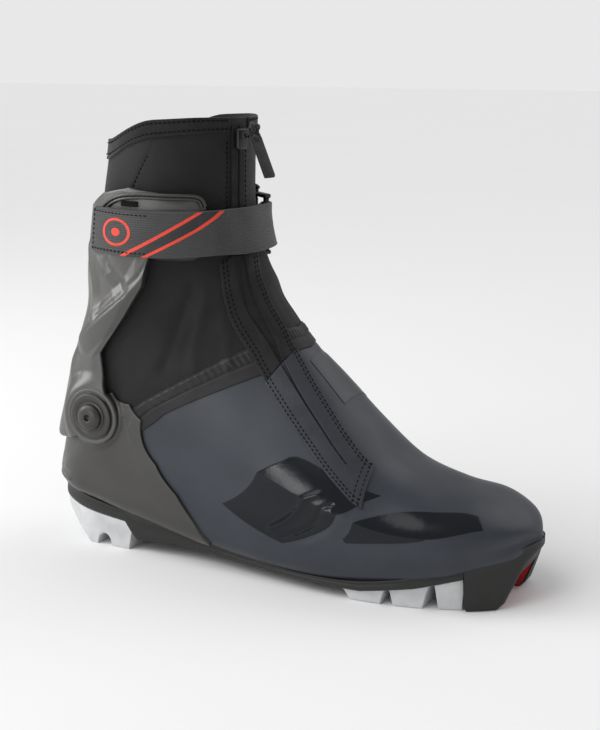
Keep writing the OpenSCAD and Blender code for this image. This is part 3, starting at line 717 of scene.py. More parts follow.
PIVOT_X, PIVOT_Z = 42 - LENGTH / 2, 80.0
ANKLE_START, ANKLE_END = (-0.067, 0.0, 0.0917), (-0.0833, 0.0, 0.1215)
CROSSING = ("boot", "cuff")
SHELL_T, LINER_T = 1.8, 3.6
LINER_OUT = -SHELL_T - 0.7
LINER_IN = LINER_OUT - LINER_T
EDGE_GAP = 0.03


def shell_edge(a):
    return 8.3 + 1.3 * (1 + np.cos(np.radians(a)))


def leg_edge(a):
    return 12.05 + 0.15 * np.cos(np.radians(a))


# ---- Sole ----
PLAN = np.array([
    [0, 0, 0], [4, -14, 14], [14, -24, 24], [32, -31, 31], [62, -32, 31], [100, -32, 30],
    [140, -38, 33], [175, -43, 40], [205, -45, 44], [235, -42, 43], [262, -33, 38], [280, -21, 29],
    [290, -8, 18], [294, 3, 7]], float)
SEAT = np.array([
    [0, 30], [20, 28.5], [66, 20], [107, 13.3], [144, 10.3], [177, 9.2], [211, 11.2], [245, 18],
    [272, 26.4], [294, 34]], float)
UNDERSIDE = [(0, 24), (56, 17), (60, 11), (64, 6.5), (86, 8), (125, 6.5), (164, 6), (210, 6),
             (239, 11), (262, 17), (267, 18)]
TOE_UNDER = UNDERSIDE[:-1] + [(263.4, 17.3), (264, 1), (265, 0), (278, 0), (281, 3), (289, 23), (294, 30)]
SOLE_LIP = [(0, 2.5), (40, 2.2), (110, 1.4), (200, 1.2), (262, 1.4), (280, 1.0), (294, 0)]
# slots cut from below: from y, to y, roof, first x
TOE_SLOT = (-16.2, 16.2, 18.2, 262)
TREAD_GROOVES = [(-16.5, -7.5, 5, 0), (7.5, 16.5, 5, 0)]
INSOLE_LOW, INSOLE_HIGH, INSOLE_INSET = 11.8, 14.4, 13  # heights over the sole's top, and its margin
DENSE = np.linspace(0, 1, 800)


def curve_at(table, column, x):
    """A column of a table at x, on a smooth curve through its rows."""
    rows = spline(table, DENSE * (len(table) - 1))
    return np.interp(x, rows[:, 0], rows[:, column])


def plan_at(x, side):
    """Where the sole's edge is, across the boot, on the lateral (-1) or medial (1) side."""
    return curve_at(PLAN, 1 if side < 0 else 2, x)


def seat_at(x):
    """Height of the sole's top."""
    return curve_at(SEAT, 1, x)


def flank(edge, inward, top, under, r, groove):
    """One side of a block from its top down and round to its underside, with a groove along it."""
    wall = [(edge + inward * groove * math.exp(-((t - 0.55) / 0.12) ** 2), under + r + (top - under - r) * t)
            for t in np.linspace(1, 0, 5)]
    turns = [math.radians(k) for k in (30, 60, 90)]
    return wall + [(edge + inward * r * (1 - math.cos(t)), under + r * (1 - math.sin(t))) for t in turns]


def sole_block(name, xs, lateral, medial, top, under, slots=(), radius=2.0, crown=0.0, groove=0.0):
    """A block that follows the sole's plan: at each x it has its two sides, its top and its underside,
    which slots (from y, to y, roof, first x) are cut into from below."""
    rings = []
    for x, yl, ym, zt, zb, hollow in zip(xs, lateral, medial, top, under, np.broadcast_to(crown, len(xs))):
        zb = min(zb, zt - 0.02)
        r = min(radius, (zt - zb) * 0.45, (ym - yl) * 0.2)
        ring = flank(yl, 1, zt, zb, r, groove)
        for y0, y1, roof, first in slots:
            deep = max(zb, roof) if x >= first else zb
            deep = min(deep, zt - 0.4) if zt - 0.4 > zb else zb
            a, b = (min(max(y, yl + r), ym - r) for y in (y0, y1))
            ring += [(a, zb), (a, deep), (b, deep), (b, zb)]
        ring += flank(ym, -1, zt, zb, r, groove)[::-1]
        ring += [(ym + (yl - ym) * t, zt + hollow * math.sin(math.pi * t) ** 0.6)
                 for t in np.linspace(0, 1, 12)[1:-1]]
        rings.append([(x - LENGTH / 2, y, z) for y, z in ring])
    n = len(rings[0])
    faces = [[i * n + j, (i + 1) * n + j, (i + 1) * n + (j + 1) % n, i * n + (j + 1) % n]
             for i in range(len(rings) - 1) for j in range(n)]
    faces += [list(range(n))[::-1], [(len(rings) - 1) * n + j for j in range(n)]]
    obj = outward(mesh_object(name, [p for ring in rings for p in ring], faces))
    obj.data.set_sharp_from_angle(angle=math.radians(38))
    return obj


class SKIBOOT_OT_sole(bpy.types.Operator):
    """Sole, treads, toe bar with its red lining, lasting board and insole"""
    bl_idname = "skiboot.sole"
    bl_label = "Sole"

    def execute(self, context):
        tone = context.scene.boot_colours
        rubber = finish("Moulded sole rubber", tone.sole, "#292928", patch=14, roughness=0.55, vary=0.08,
                        grain=0.5, grain_depth=0.05, worn="#454541", specular=0.35)  # matt, scuffs lighter
        tread = finish("Moulded tread rubber", tone.tread, "#b9bbbd", patch=9, roughness=0.55,
                       grain=0.4, grain_depth=0.03, worn="#dcdddd")  # soft sheen, lighter at its rubbed edges
        steel = finish("Ground stainless steel", "#a9aaab", "#8d8e90", patch=3, roughness=0.28, metallic=1.0,
                       grain=0.2, grain_depth=0.01, stretch=(1, 6, 1))  # fine lines round the bar
        red = finish("Moulded red polyamide", tone.lining, "#a80a0d", patch=6, roughness=0.38,
                     grain=0.5, grain_depth=0.02)  # smooth with a soft shine
        board = finish("Pressed fibre board", "#8f7f66", "#7b6c55", patch=5, roughness=0.85,
                       grain=0.8, grain_depth=0.08)
        foam = finish("Brushed knit on foam", "#2c2c2e", "#232325", patch=12, roughness=0.9, weave="knit",
                      pitch=1.2, depth=0.15, sheen=0.4)
        xs = np.unique(np.r_[np.linspace(0.3, 293.6, 150), 56, 60, 64, 261.9, 262.05, 263.4, 264, 264.5, 265,
                             278, 279.5, 281, 285, 289, np.linspace(282, 293, 16)])
        lip = look(SOLE_LIP, xs)
        outsole = sole_block("outsole_rubber", xs, plan_at(xs, -1), plan_at(xs, 1), seat_at(xs) - 0.3 + lip,
                             look(TOE_UNDER, xs), [TOE_SLOT], 2.2, crown=-lip, groove=0.5)
        place_piece(outsole, "boot", rubber, "sole_rubber", "outsole")
        arch = [(41 + 5 * math.cos(math.radians(t)), 7 * math.sin(math.radians(t)))
                for t in range(165, 0, -15)]
        lugs = {
            "heel_tread": [(1, 24), (25, 5), (30, 0), (36, 0), *arch, (46, 0), (58, 0), (60, 10.9)],
            "ball_lug_rear": [(200, 5.9), (204, 0), (221, 0), (223, 7.9)],
            "ball_lug_mid": [(226, 8.4), (228, 0), (243, 0), (246, 12.6)],
            "ball_lug_front": [(249, 13.4), (251, 0), (262.2, 0), (263.4, 17.1)]}
        for name, below in lugs.items():
            inset = 1.5 if name == "heel_tread" else 3
            x0, x1 = below[0][0], below[-1][0]
            line = np.unique(np.r_[np.linspace(x0, x1, 56), [p[0] for p in below]])
            lug = sole_block(name + "_rubber", line, plan_at(line, -1) + inset, plan_at(line, 1) - inset,
                             look(UNDERSIDE, line) - 0.4, look(below, line), TREAD_GROOVES, 1.0)
            place_piece(lug, "boot", tread, "tread_rubber", name)
        line = np.linspace(20.5, 255.5, 90)
        insole = sole_block("insole_padding", line, plan_at(line, -1) + INSOLE_INSET,
                            plan_at(line, 1) - INSOLE_INSET, seat_at(line) + INSOLE_HIGH,
                            seat_at(line) + INSOLE_LOW, (), 1.1, crown=-0.5)
        place_piece(insole, "boot", foam, "insole_foam", "insole")
        for name, material in (("toe_bar", steel), ("toe_insert", red), ("lasting_board", board)):
            set_material(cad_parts[name], material)
        return {"FINISHED"}


def set_material(obj, material):
    """Gives a frame node a better material in each of its slots, without touching its mesh."""
    if not obj.material_slots:
        obj.data.materials.append(material)
    for item in obj.material_slots:
        item.link = "OBJECT"
        item.material = material


# ---- Upper over the foot ----
# each film patch has a lower and an upper edge, both from its rear to its front: stations and angles
FILMS = {
    "film_side": ([(6.5, 293), (6.1, 279), (5.6, 265), (5.3, 250), (5.0, 236)],
                  [(7.5, 282), (7.2, 271), (6.9, 259), (6.6, 249), (5.7, 244)]),
    "film_toe": ([(5.55, 277), (5.0, 273), (4.4, 271), (3.9, 269), (3.2, 262), (2.6, 252)],
                 [(5.6, 275), (5.2, 262), (4.8, 250), (4.3, 239), (3.5, 229), (2.8, 228)]),
    "film_instep": ([(6.5, 132), (6.45, 162), (6.4, 192)], [(7.8, 132), (7.7, 162), (7.5, 192)]),
    "film_medial": ([(4.6, 70), (4.4, 98), (5.4, 126)], [(6.6, 70), (7.2, 100), (6.6, 126)])}
BAND_LOW = [(84, 9.35), (137, 8.3), (180, 7.8), (223, 8.05), (248, 8.65), (276, 9.35)]
BAND_HIGH = [(84, 10.05), (137, 9.0), (180, 8.5), (223, 8.9), (248, 9.4), (276, 10.05)]


class SKIBOOT_OT_foot(bpy.types.Operator):
    """Coated shell over the foot, its gloss film patches and the welded band over the instep"""
    bl_idname = "skiboot.foot"
    bl_label = "Shell over the foot"

    def execute(self, context):
        tone = context.scene.boot_colours
        coated = finish("Polyurethane coated fabric", tone.shell, "#2b2f37", patch=30, roughness=0.4,
                        vary=0.06, grain=0.35, grain_depth=0.012, specular=0.38)  # rubbery satin skin
        gloss = finish("Gloss polyurethane film", tone.film, "#070a11", patch=24, roughness=0.17, vary=0.05,
                       grain=3.0, grain_depth=0.05, specular=0.32)  # wet shine, slight ripple
        soft_film = finish("Satin polyurethane film", "#272a33", "#21242c", patch=24, roughness=0.36,
                           vary=0.05, grain=1.2, grain_depth=0.015)  # darker and smoother than the shell
        band = finish("Welded band film", "#151516", "#101011", patch=10, roughness=0.48,
                      grain=0.4, grain_depth=0.02, specular=0.35)
        foot = shell("forefoot_skin", turn_place(lambda a: 0 * a, lambda a: shell_edge(a) - EDGE_GAP, 0, 360),
                     120, 210, lambda s, a, u, v: seated(s, a), -SHELL_T, closed=True, cap=0.09)
        place_piece(foot, "boot", coated, "coated_softshell", "forefoot_shell")
        for name, edges in FILMS.items():
            low, high = (spline(np.array(edge, float), np.linspace(0, len(edge) - 1, 200)) for edge in edges)
            if low[0, 1] > low[-1, 1]:
                low, high = low[::-1], high[::-1]

            def place(u, v, rows=(low[:, 0], low[:, 1], high[:, 0], high[:, 1])):
                s0, a0, s1, a1 = (np.interp(v, np.linspace(0, 1, len(row)), row) for row in rows)
                return s0 + (s1 - s0) * u, a0 + (a1 - a0) * u

            patch = shell(name + "_gloss", place, 50, 80, 0.3, 0.05, rim=0.12)
            satin = name in ("film_instep", "film_medial")
            place_piece(patch, "boot", soft_film if satin else gloss, "gloss_film", name)

        def ribbed(s, a, u, v):
            ribs = 0.5 + 0.5 * np.sin(np.radians(a) * 118 + 5.0 * u)
            lines = bell(u, 0.46, 0.025) + bell(u, 0.94, 0.025)
            return 0.7 + 0.35 * ribs * ease(u, 0.5, 0.56) * (1 - ease(u, 0.86, 0.92)) - 0.3 * lines

        edges = [lambda a, table=table: look(table, a) for table in (BAND_LOW, BAND_HIGH)]
        parts = [shell(f"band{a0}", turn_place(*edges, a0, a1), 24, count, ribbed, 0.08, rim=0.25)
                 for a0, a1, count in ((84, 196, 360), (222, 279, 230))]
        place_piece(joined("ankle_band_ribbed", parts), "boot", band, "band_film", "ankle_band")
        return {"FINISHED"}


# ---- Liner and pads ----
WING_TOP = [(36, 14.85), (61, 14.95), (78, 14.98), (100, 14.78), (127, 14.4), (134, 14.15)]
PAD_LOW = [(64, 13.9), (92, 13.55), (126, 12.78), (134, 12.75)]
CUFF_IN = 3.3
CUFF_OUT = CUFF_IN + 2.4


class SKIBOOT_OT_liner(bpy.types.Operator):
    """Padded liner inside the boot and the pads inside the cuff's wings"""
    bl_idname = "skiboot.liner"
    bl_label = "Liner and pads"

    def execute(self, context):
        knit = finish("Brushed knit over foam", "#1f1f21", "#171718", patch=15, roughness=0.92, weave="knit",
                      pitch=1.4, depth=0.2, uv=True, sheen=0.5)  # soft pile that catches light at its edge
        pad_skin = finish("Coated pad fabric", "#121213", "#0d0d0e", patch=15, roughness=0.5, grain=0.5,
                          grain_depth=0.04)

        def quilted(s, a, u, v):
            return LINER_OUT + 0.25 * np.sin(np.radians(a) * 9) * np.sin(5 * s) - 0.25

        pieces = (
            ("liner_foot", "boot", lambda a: 0 * a + 2, lambda a: shell_edge(a) - EDGE_GAP, 0.055),
            ("liner_ankle", CROSSING, shell_edge, lambda a: leg_edge(a) - EDGE_GAP, 0.0),
            ("liner_leg", "cuff", leg_edge, lambda a: top_edge(a) - 0.15, 0.0))
        for name, body, low, high, cap in pieces:
            piece = shell(name + "_padding", turn_place(low, high, 0, 360), 46, 120, quilted, LINER_IN,
                          rim=1.2, closed=True, cap=cap)
            place_piece(piece, body, knit, "liner_textile", name)

        def crowned(s, a, u, v):
            bulge = (1 - np.abs(2 * u - 1) ** 5) * (1 - np.abs(2 * v - 1) ** 10)
            return 1.0 + 2.1 * bulge - 0.5 * bell(u, 0.12, 0.03)

        for side, a0, a1 in (("lateral", 226, 296), ("medial", 64, 134)):
            place = turn_place(edge_of(PAD_LOW), lambda a: edge_of(WING_TOP)(a) - 0.1, a0, a1)
            pad = shell(f"cuff_pad_{side}_padding", place, 50, 70, crowned, 0.12, rim=0.5)
            place_piece(pad, "cuff", pad_skin, "softshell", f"cuff_pad_{side}")
        return {"FINISHED"}


# ---- Gaiter ----
HEM_START, HEM_END, HEM_DEEP = 204, 542, 0.34  # angles beside the zip, and depth in stations


def seam_angle(s):
    """Side angle of the seam between the neoprene back panel and the twill at station s."""
    return 100 - 21 * (15.9 - s)


class SKIBOOT_OT_gaiter(bpy.types.Operator):
    """Stretch gaiter round the ankle and leg with its folded hem"""
    bl_idname = "skiboot.gaiter"
    bl_label = "Gaiter"

    def execute(self, context):
        tone, size = context.scene.boot_colours, context.scene.boot_sizes
        woven = dict(patch=35, weave="twill", pitch=size.twill / MM, depth=0.16, uv=True, sheen=0.15,
                     thread="#2b2b2d", specular=0.25)  # matt diagonals, faint sheen
        twill = finish("Stretch twill softshell", tone.gaiter, "#18181a", roughness=0.82, **woven)
        leg_cloth = finish("Stretch twill with neoprene back", tone.gaiter, "#18181a", roughness=0.8,
                           zone=("zone", tone.neoprene), **woven)  # the back panel takes the neoprene colour
        hem_tape = finish("Folded hem knit", "#222223", "#1b1b1c", patch=12, roughness=0.85, weave="plain",
                          pitch=0.9, depth=0.14, uv=True, sheen=0.15, specular=0.25)
        ankle = shell("ankle_cloth", turn_place(shell_edge, leg_edge, 0, 360), 90, 200, 0.0, -SHELL_T,
                      rim=0.1, closed=True, meets=(False, True))
        place_piece(ankle, CROSSING, twill, "softshell", "ankle_softshell")

        def wave(s, a):
            return 0.35 * np.sin(np.radians(a) * 3 + 1.2 * s)

        def with_seams(s, a, u, v):
            near = (side_angle(a) - seam_angle(s)) * 0.7
            dent = -0.35 * bell(near, 0, 0.8)
            return dent + wave(s, a) * ease(s, 15, 15.5) * (1 - ease(s, 15.7, 16))

        leg = shell("leg_cloth", turn_place(leg_edge, lambda a: top_edge(a) - 0.01, 0, 360), 100, 200,
                    with_seams, -SHELL_T, rim=0.1, closed=True, meets=(True, False),
                    mark=lambda s, a: seam_angle(s) - side_angle(a))
        place_piece(leg, "cuff", leg_cloth, "softshell", "leg_softshell")

        def hem_place(u, v):
            a = HEM_START + (HEM_END - HEM_START) * v
            return top_edge(a) - HEM_DEEP * (1 - u), a

        def hem_roll(s, a, u, v):
            rows = bell(u, 0.2, 0.05) + bell(u, 0.8, 0.05)
            return 1.1 - 0.3 * rows + wave(s, a) * (1 - ease(s, 15.7, 16))

        hem = shell("hem_band", hem_place, 26, 260, hem_roll, 0.1, rim=0.45)
        place_piece(hem, "cuff", hem_tape, "softshell", "leg_hem")
        return {"FINISHED"}


# ---- Zip ----
ZIP_LINE = [(5.5, 235), (6.5, 224), (7.6, 215), (8.6, 208), (10, 204), (12, 199), (14, 195), (16, 195)]
ZIP_W, FACING_W = 9.0, 9.0
ZIP_OUT, FACING_OUT = 1.3, 1.22
FACING_SHIFT = (ZIP_W + FACING_W) / 2 - 0.3
OPENING = [(5.5, 0.35), (7.2, 0.5), (8.0, 1.2), (8.8, 2.4), (10, 3.4), (11.4, 3.0), (12.6, 1.2), (13.5, 0.5),
           (16, 0.4)]
SLIDER_ANGLE, SLIDER_Z = 195.0, 236.0
PULL_TILT = 27.0  # how far the pull hangs away from the leg, in degrees


def beside_zip(s, shift):
    """Angles of a line that runs shift mm to the side of the zip's middle."""
    s = np.asarray(s, float)
    middle = look(ZIP_LINE, s)
    degree = np.linalg.norm(skin(s, middle + 0.5) - skin(s, middle - 0.5), axis=-1)
    return middle + shift / degree


def strip_place(s0, s1, width, shift):
    def place(u, v):
        s = s0 + (s1 - s0) * u
        return s, beside_zip(s, shift + width * (v - 0.5))
    return place


def on_slider(points):
    """Turns points given from the slider's middle (x outwards, y across, z up) into the boot's frame."""
    s = station_at(SLIDER_ANGLE, SLIDER_Z)
    base = skin(s, SLIDER_ANGLE)
    middle = base + (ZIP_OUT + 0.4) * facing(s, SLIDER_ANGLE)
    out = middle - base
    spin = about_z(math.atan2(out[1], out[0]))
    return np.asarray(points, float) @ spin.T + middle, spin


class SKIBOOT_OT_zip(bpy.types.Operator):
    """Zip tapes with their coil, the facing on the foot, the slider and its webbing pull"""
    bl_idname = "skiboot.zip"
    bl_label = "Zip"

    def execute(self, context):
        size = context.scene.boot_sizes
        coated_tape = finish("Coated facing tape", "#31343b", "#2b2e34", patch=10, roughness=0.5, grain=0.4,
                             grain_depth=0.03, specular=0.35)
        tape = finish("Woven zip tape", "#0c0c0d", "#080809", patch=8, roughness=0.8, weave="plain",
                      pitch=0.7, depth=0.1, uv=True)
        cloth = finish("Stretch twill placket", "#222224", "#1a1a1c", patch=20, roughness=0.8, weave="twill",
                       pitch=size.twill / MM, depth=0.12, uv=True, sheen=0.3, specular=0.25)
        coil = finish("Polyester zip coil", "#0d0d0e", "#141415", patch=2, roughness=0.35)
        enamel = finish("Black enamelled zinc", "#0d0d0e", "#0a0a0b", patch=3, roughness=0.35, grain=0.4,
                        grain_depth=0.01, worn="#2c2c2e")
        cord = finish("Braided pull webbing", "#1f1f20", "#161617", patch=4, roughness=0.8, weave="plain",
                      pitch=0.8, depth=0.15, sheen=0.2)

        def lips(s, a, u, v):
            off = np.abs(v - 0.5) * ZIP_W
            half = look(OPENING, s)
            ridge = 0.1 * bell(off - half, 0.8, 0.5)
            return ZIP_OUT - 1.05 * (1 - ease(off, half - 0.25, half + 0.25)) + ridge

        for name, body, s0, s1, look_as in (
                ("zip_foot", "boot", 5.75, 7.95, coated_tape), ("zip_ankle", CROSSING, 7.97, 12.2, tape),
                ("zip_leg", "cuff", 12.25, 15.95, tape)):
            strip = shell(name + "_tape", strip_place(s0, s1, ZIP_W, 0), 60, 60, lips, 0.1, rim=0.25)
            place_piece(strip, body, look_as, "zip_tape", name)
            s = np.linspace(s0 + 0.06, s1 - 0.06, 70)
            rows = [(s, beside_zip(s, k * (look(OPENING, s) - 0.1)), 0.5) for k in (-1, 1)]
            teeth = rows_over(name + "_coil", rows, coil, size.coil / MM, 0.75, 1.3, 0.8)
            place_piece(teeth, body, None, "zip_tape")
        parts, fronts = [], []
        for k in (-1, 1):
            for pieces, kind, ends, width, shift, count in (
                    (parts, "facing", (5.3, 7.95), FACING_W, FACING_SHIFT, 60),
                    (fronts, "placket", (7.97, 12.25), FACING_W - 1, FACING_SHIFT - 0.5, 90)):
                pieces.append(shell(f"{kind}{k}", strip_place(*ends, width, k * shift), count, 24,
                                    FACING_OUT, 0.1, rim=0.3))
        place_piece(joined("zip_placket", fronts), CROSSING, cloth, "softshell")
        parts.append(shell("facing_end", strip_place(5.3, 5.8, ZIP_W + 0.2, 0), 14, 24, 1.36, 0.1, rim=0.2))
        place_piece(joined("zip_facing_tape", parts), "boot", coated_tape, "facing_tape", "zip_facing")

        def local(name, length, across, up, middle, tilt=0.0, radius=0.4):
            centre, spin = on_slider([middle])
            t = math.radians(tilt)
            lean = np.array([[math.cos(t), 0, math.sin(t)], [0, 1, 0], [-math.sin(t), 0, math.cos(t)]])
            return soften(block(name, (length, across, up), centre[0], spin @ lean), radius)

        body = [local("s0", 3, 7, 11, (1.5, 0, 0), radius=0.9), local("s1", 3.6, 1.2, 3, (4.3, -2.0, 2)),
                local("s2", 3.6, 1.2, 3, (4.3, 2.0, 2))]
        pin, _ = on_slider([(4.8, y, 2) for y in np.linspace(-1.5, 1.5, 4)])
        body.append(tube("s3", pin, 0.8, 16))
        place_piece(joined("zip_slider_body", body), "zip_slider", enamel, "slider_metal", "zip_slider")
        turns = np.linspace(0, 2 * math.pi, 160, endpoint=False)
        knot = np.stack([(1.9 + 0.95 * np.cos(3 * turns)) * np.cos(2 * turns),
                         (1.9 + 0.95 * np.cos(3 * turns)) * np.sin(2 * turns), 1.5 * np.sin(3 * turns)], 1)
        eye = [(4.8 + 1.25 * math.cos(t), 0, 2 + 1.25 * math.sin(t))
               for t in np.linspace(0, 2 * math.pi, 20, endpoint=False)]
        neck = [(5.9, 0, 2.6), (7.5, 0, 3.6), (9.2, 0, 4.6), (10.5, 0, 5.2)]
        cords = ((knot[:, [2, 0, 1]] + np.array([11.0, 0, 5.6]), 1.15, True),
                 (knot[:, [1, 2, 0]] * 0.85 + np.array([12.0, 0, 1.0]), 1.1, True), (eye, 0.42, True),
                 (neck, 0.9, False))
        pull = [tube(f"p{k}", on_slider(path)[0], radius, 10, closed)
                for k, (path, radius, closed) in enumerate(cords)]
        t = math.radians(PULL_TILT)

        def hanging(down, off=0.0):
            """A point of the hanging tab, down mm below its top and off mm in front of its middle."""
            return 12 + math.sin(t) * down + off * math.cos(t), 0, 2 - math.cos(t) * down + off * math.sin(t)

        for k, shift in enumerate((-0.62, 0.62)):
            pull.append(local(f"p{4 + k}", 1.0, 7, 23.6 - k, hanging(12, shift), -PULL_TILT, 0.45))
        pull.append(local("p6", 2.2, 7, 1.6, hanging(23.2), -PULL_TILT, 0.75))
        place_piece(joined("zip_pull_webbing", pull), "zip_pull", cord, "webbing", "zip_pull")
        return {"FINISHED"}


# ---- Heel counter, cuff and pivots ----
COUNTER_OUT = 1.7
COUNTER_LOW = [(0, 9.97), (20, 9.9), (28, 9.5), (34, 8.6), (39, 7.7), (43, 7.45), (56, 7.75), (70, 8.15),
               (80, 8.65), (86, 9.3), (90, 9.7)]
COUNTER_HIGH = [(0, 11.25), (30, 11.1), (50, 11.0), (72, 11.2), (80, 11.0), (90, 9.9)]
CUFF_REACH = [(10.2, 72), (10.9, 79), (11.5, 74), (12.1, 68), (12.5, 84), (12.9, 95), (13.3, 97), (13.6, 100),
              (13.85, 136), (14.1, 136), (14.4, 127), (14.7, 108), (15, 80)]
CUFF_LOW = [(0, 11.4), (0.25, 11.35), (0.5, 11.0), (0.75, 10.6), (0.9, 10.4), (1, 10.5)]
CUFF_HIGH = [(0, 14.8), (0.4, 14.85), (0.7, 14.98), (1, 14.98)]
BOSS_IN, BOSS_OUT, BOSS_R = 38.02, 41.02, 16.5
# stations and angles of the piping that runs along the wing's top and down its front end
PIPING = [(14.6, 306), (14.73, 298), (14.81, 290), (14.83, 280), (14.78, 268), (14.68, 256), (14.57, 244),
          (14.5, 237), (14.42, 231), (14.3, 227.5), (14.15, 226)]
# moulded ridges and creases of the cuff's arm and of the counter, on the lateral side:
# line over the last, half width and height in mm; the medial side has them mirrored
CUFF_LINES = [
    ([(13.35, 260), (13.0, 268), (12.8, 282), (12.7, 300), (12.6, 312)], 9.0, 3.4),
    ([(13.5, 259), (13.17, 267), (12.97, 281), (12.87, 298)], 2.2, -1.0),
    ([(14.0, 300), (13.5, 288), (13.12, 280)], 6.0, -2.2),
    ([(14.2, 318), (13.6, 311), (13.0, 306)], 6.0, 1.8),
    ([(12.3, 322), (11.8, 314), (11.3, 308), (10.9, 304)], 9.0, 1.6)]
COUNTER_LINES = [
    ([(10.2, 276), (9.7, 275), (9.2, 279), (8.8, 288), (8.3, 300), (8.0, 308)], 0.7, -0.55),
    ([(10.2, 335), (10.0, 326), (9.75, 318)], 1.1, 0.7),
    ([(10.35, 330), (10.15, 322), (9.9, 316)], 1.4, -0.5)]


def mirrored(lines):
    return lines + [([(s, 360 - a) for s, a in path], w, h) for path, w, h in lines]


def moulded(s, a, lines):
    """Height of the ridges and grooves: straight flanks that meet in a crisp line."""
    points = skin(s, a)
    return sum(h * np.maximum(0, 1 - distance(points, path) / w) for path, w, h in mirrored(lines))


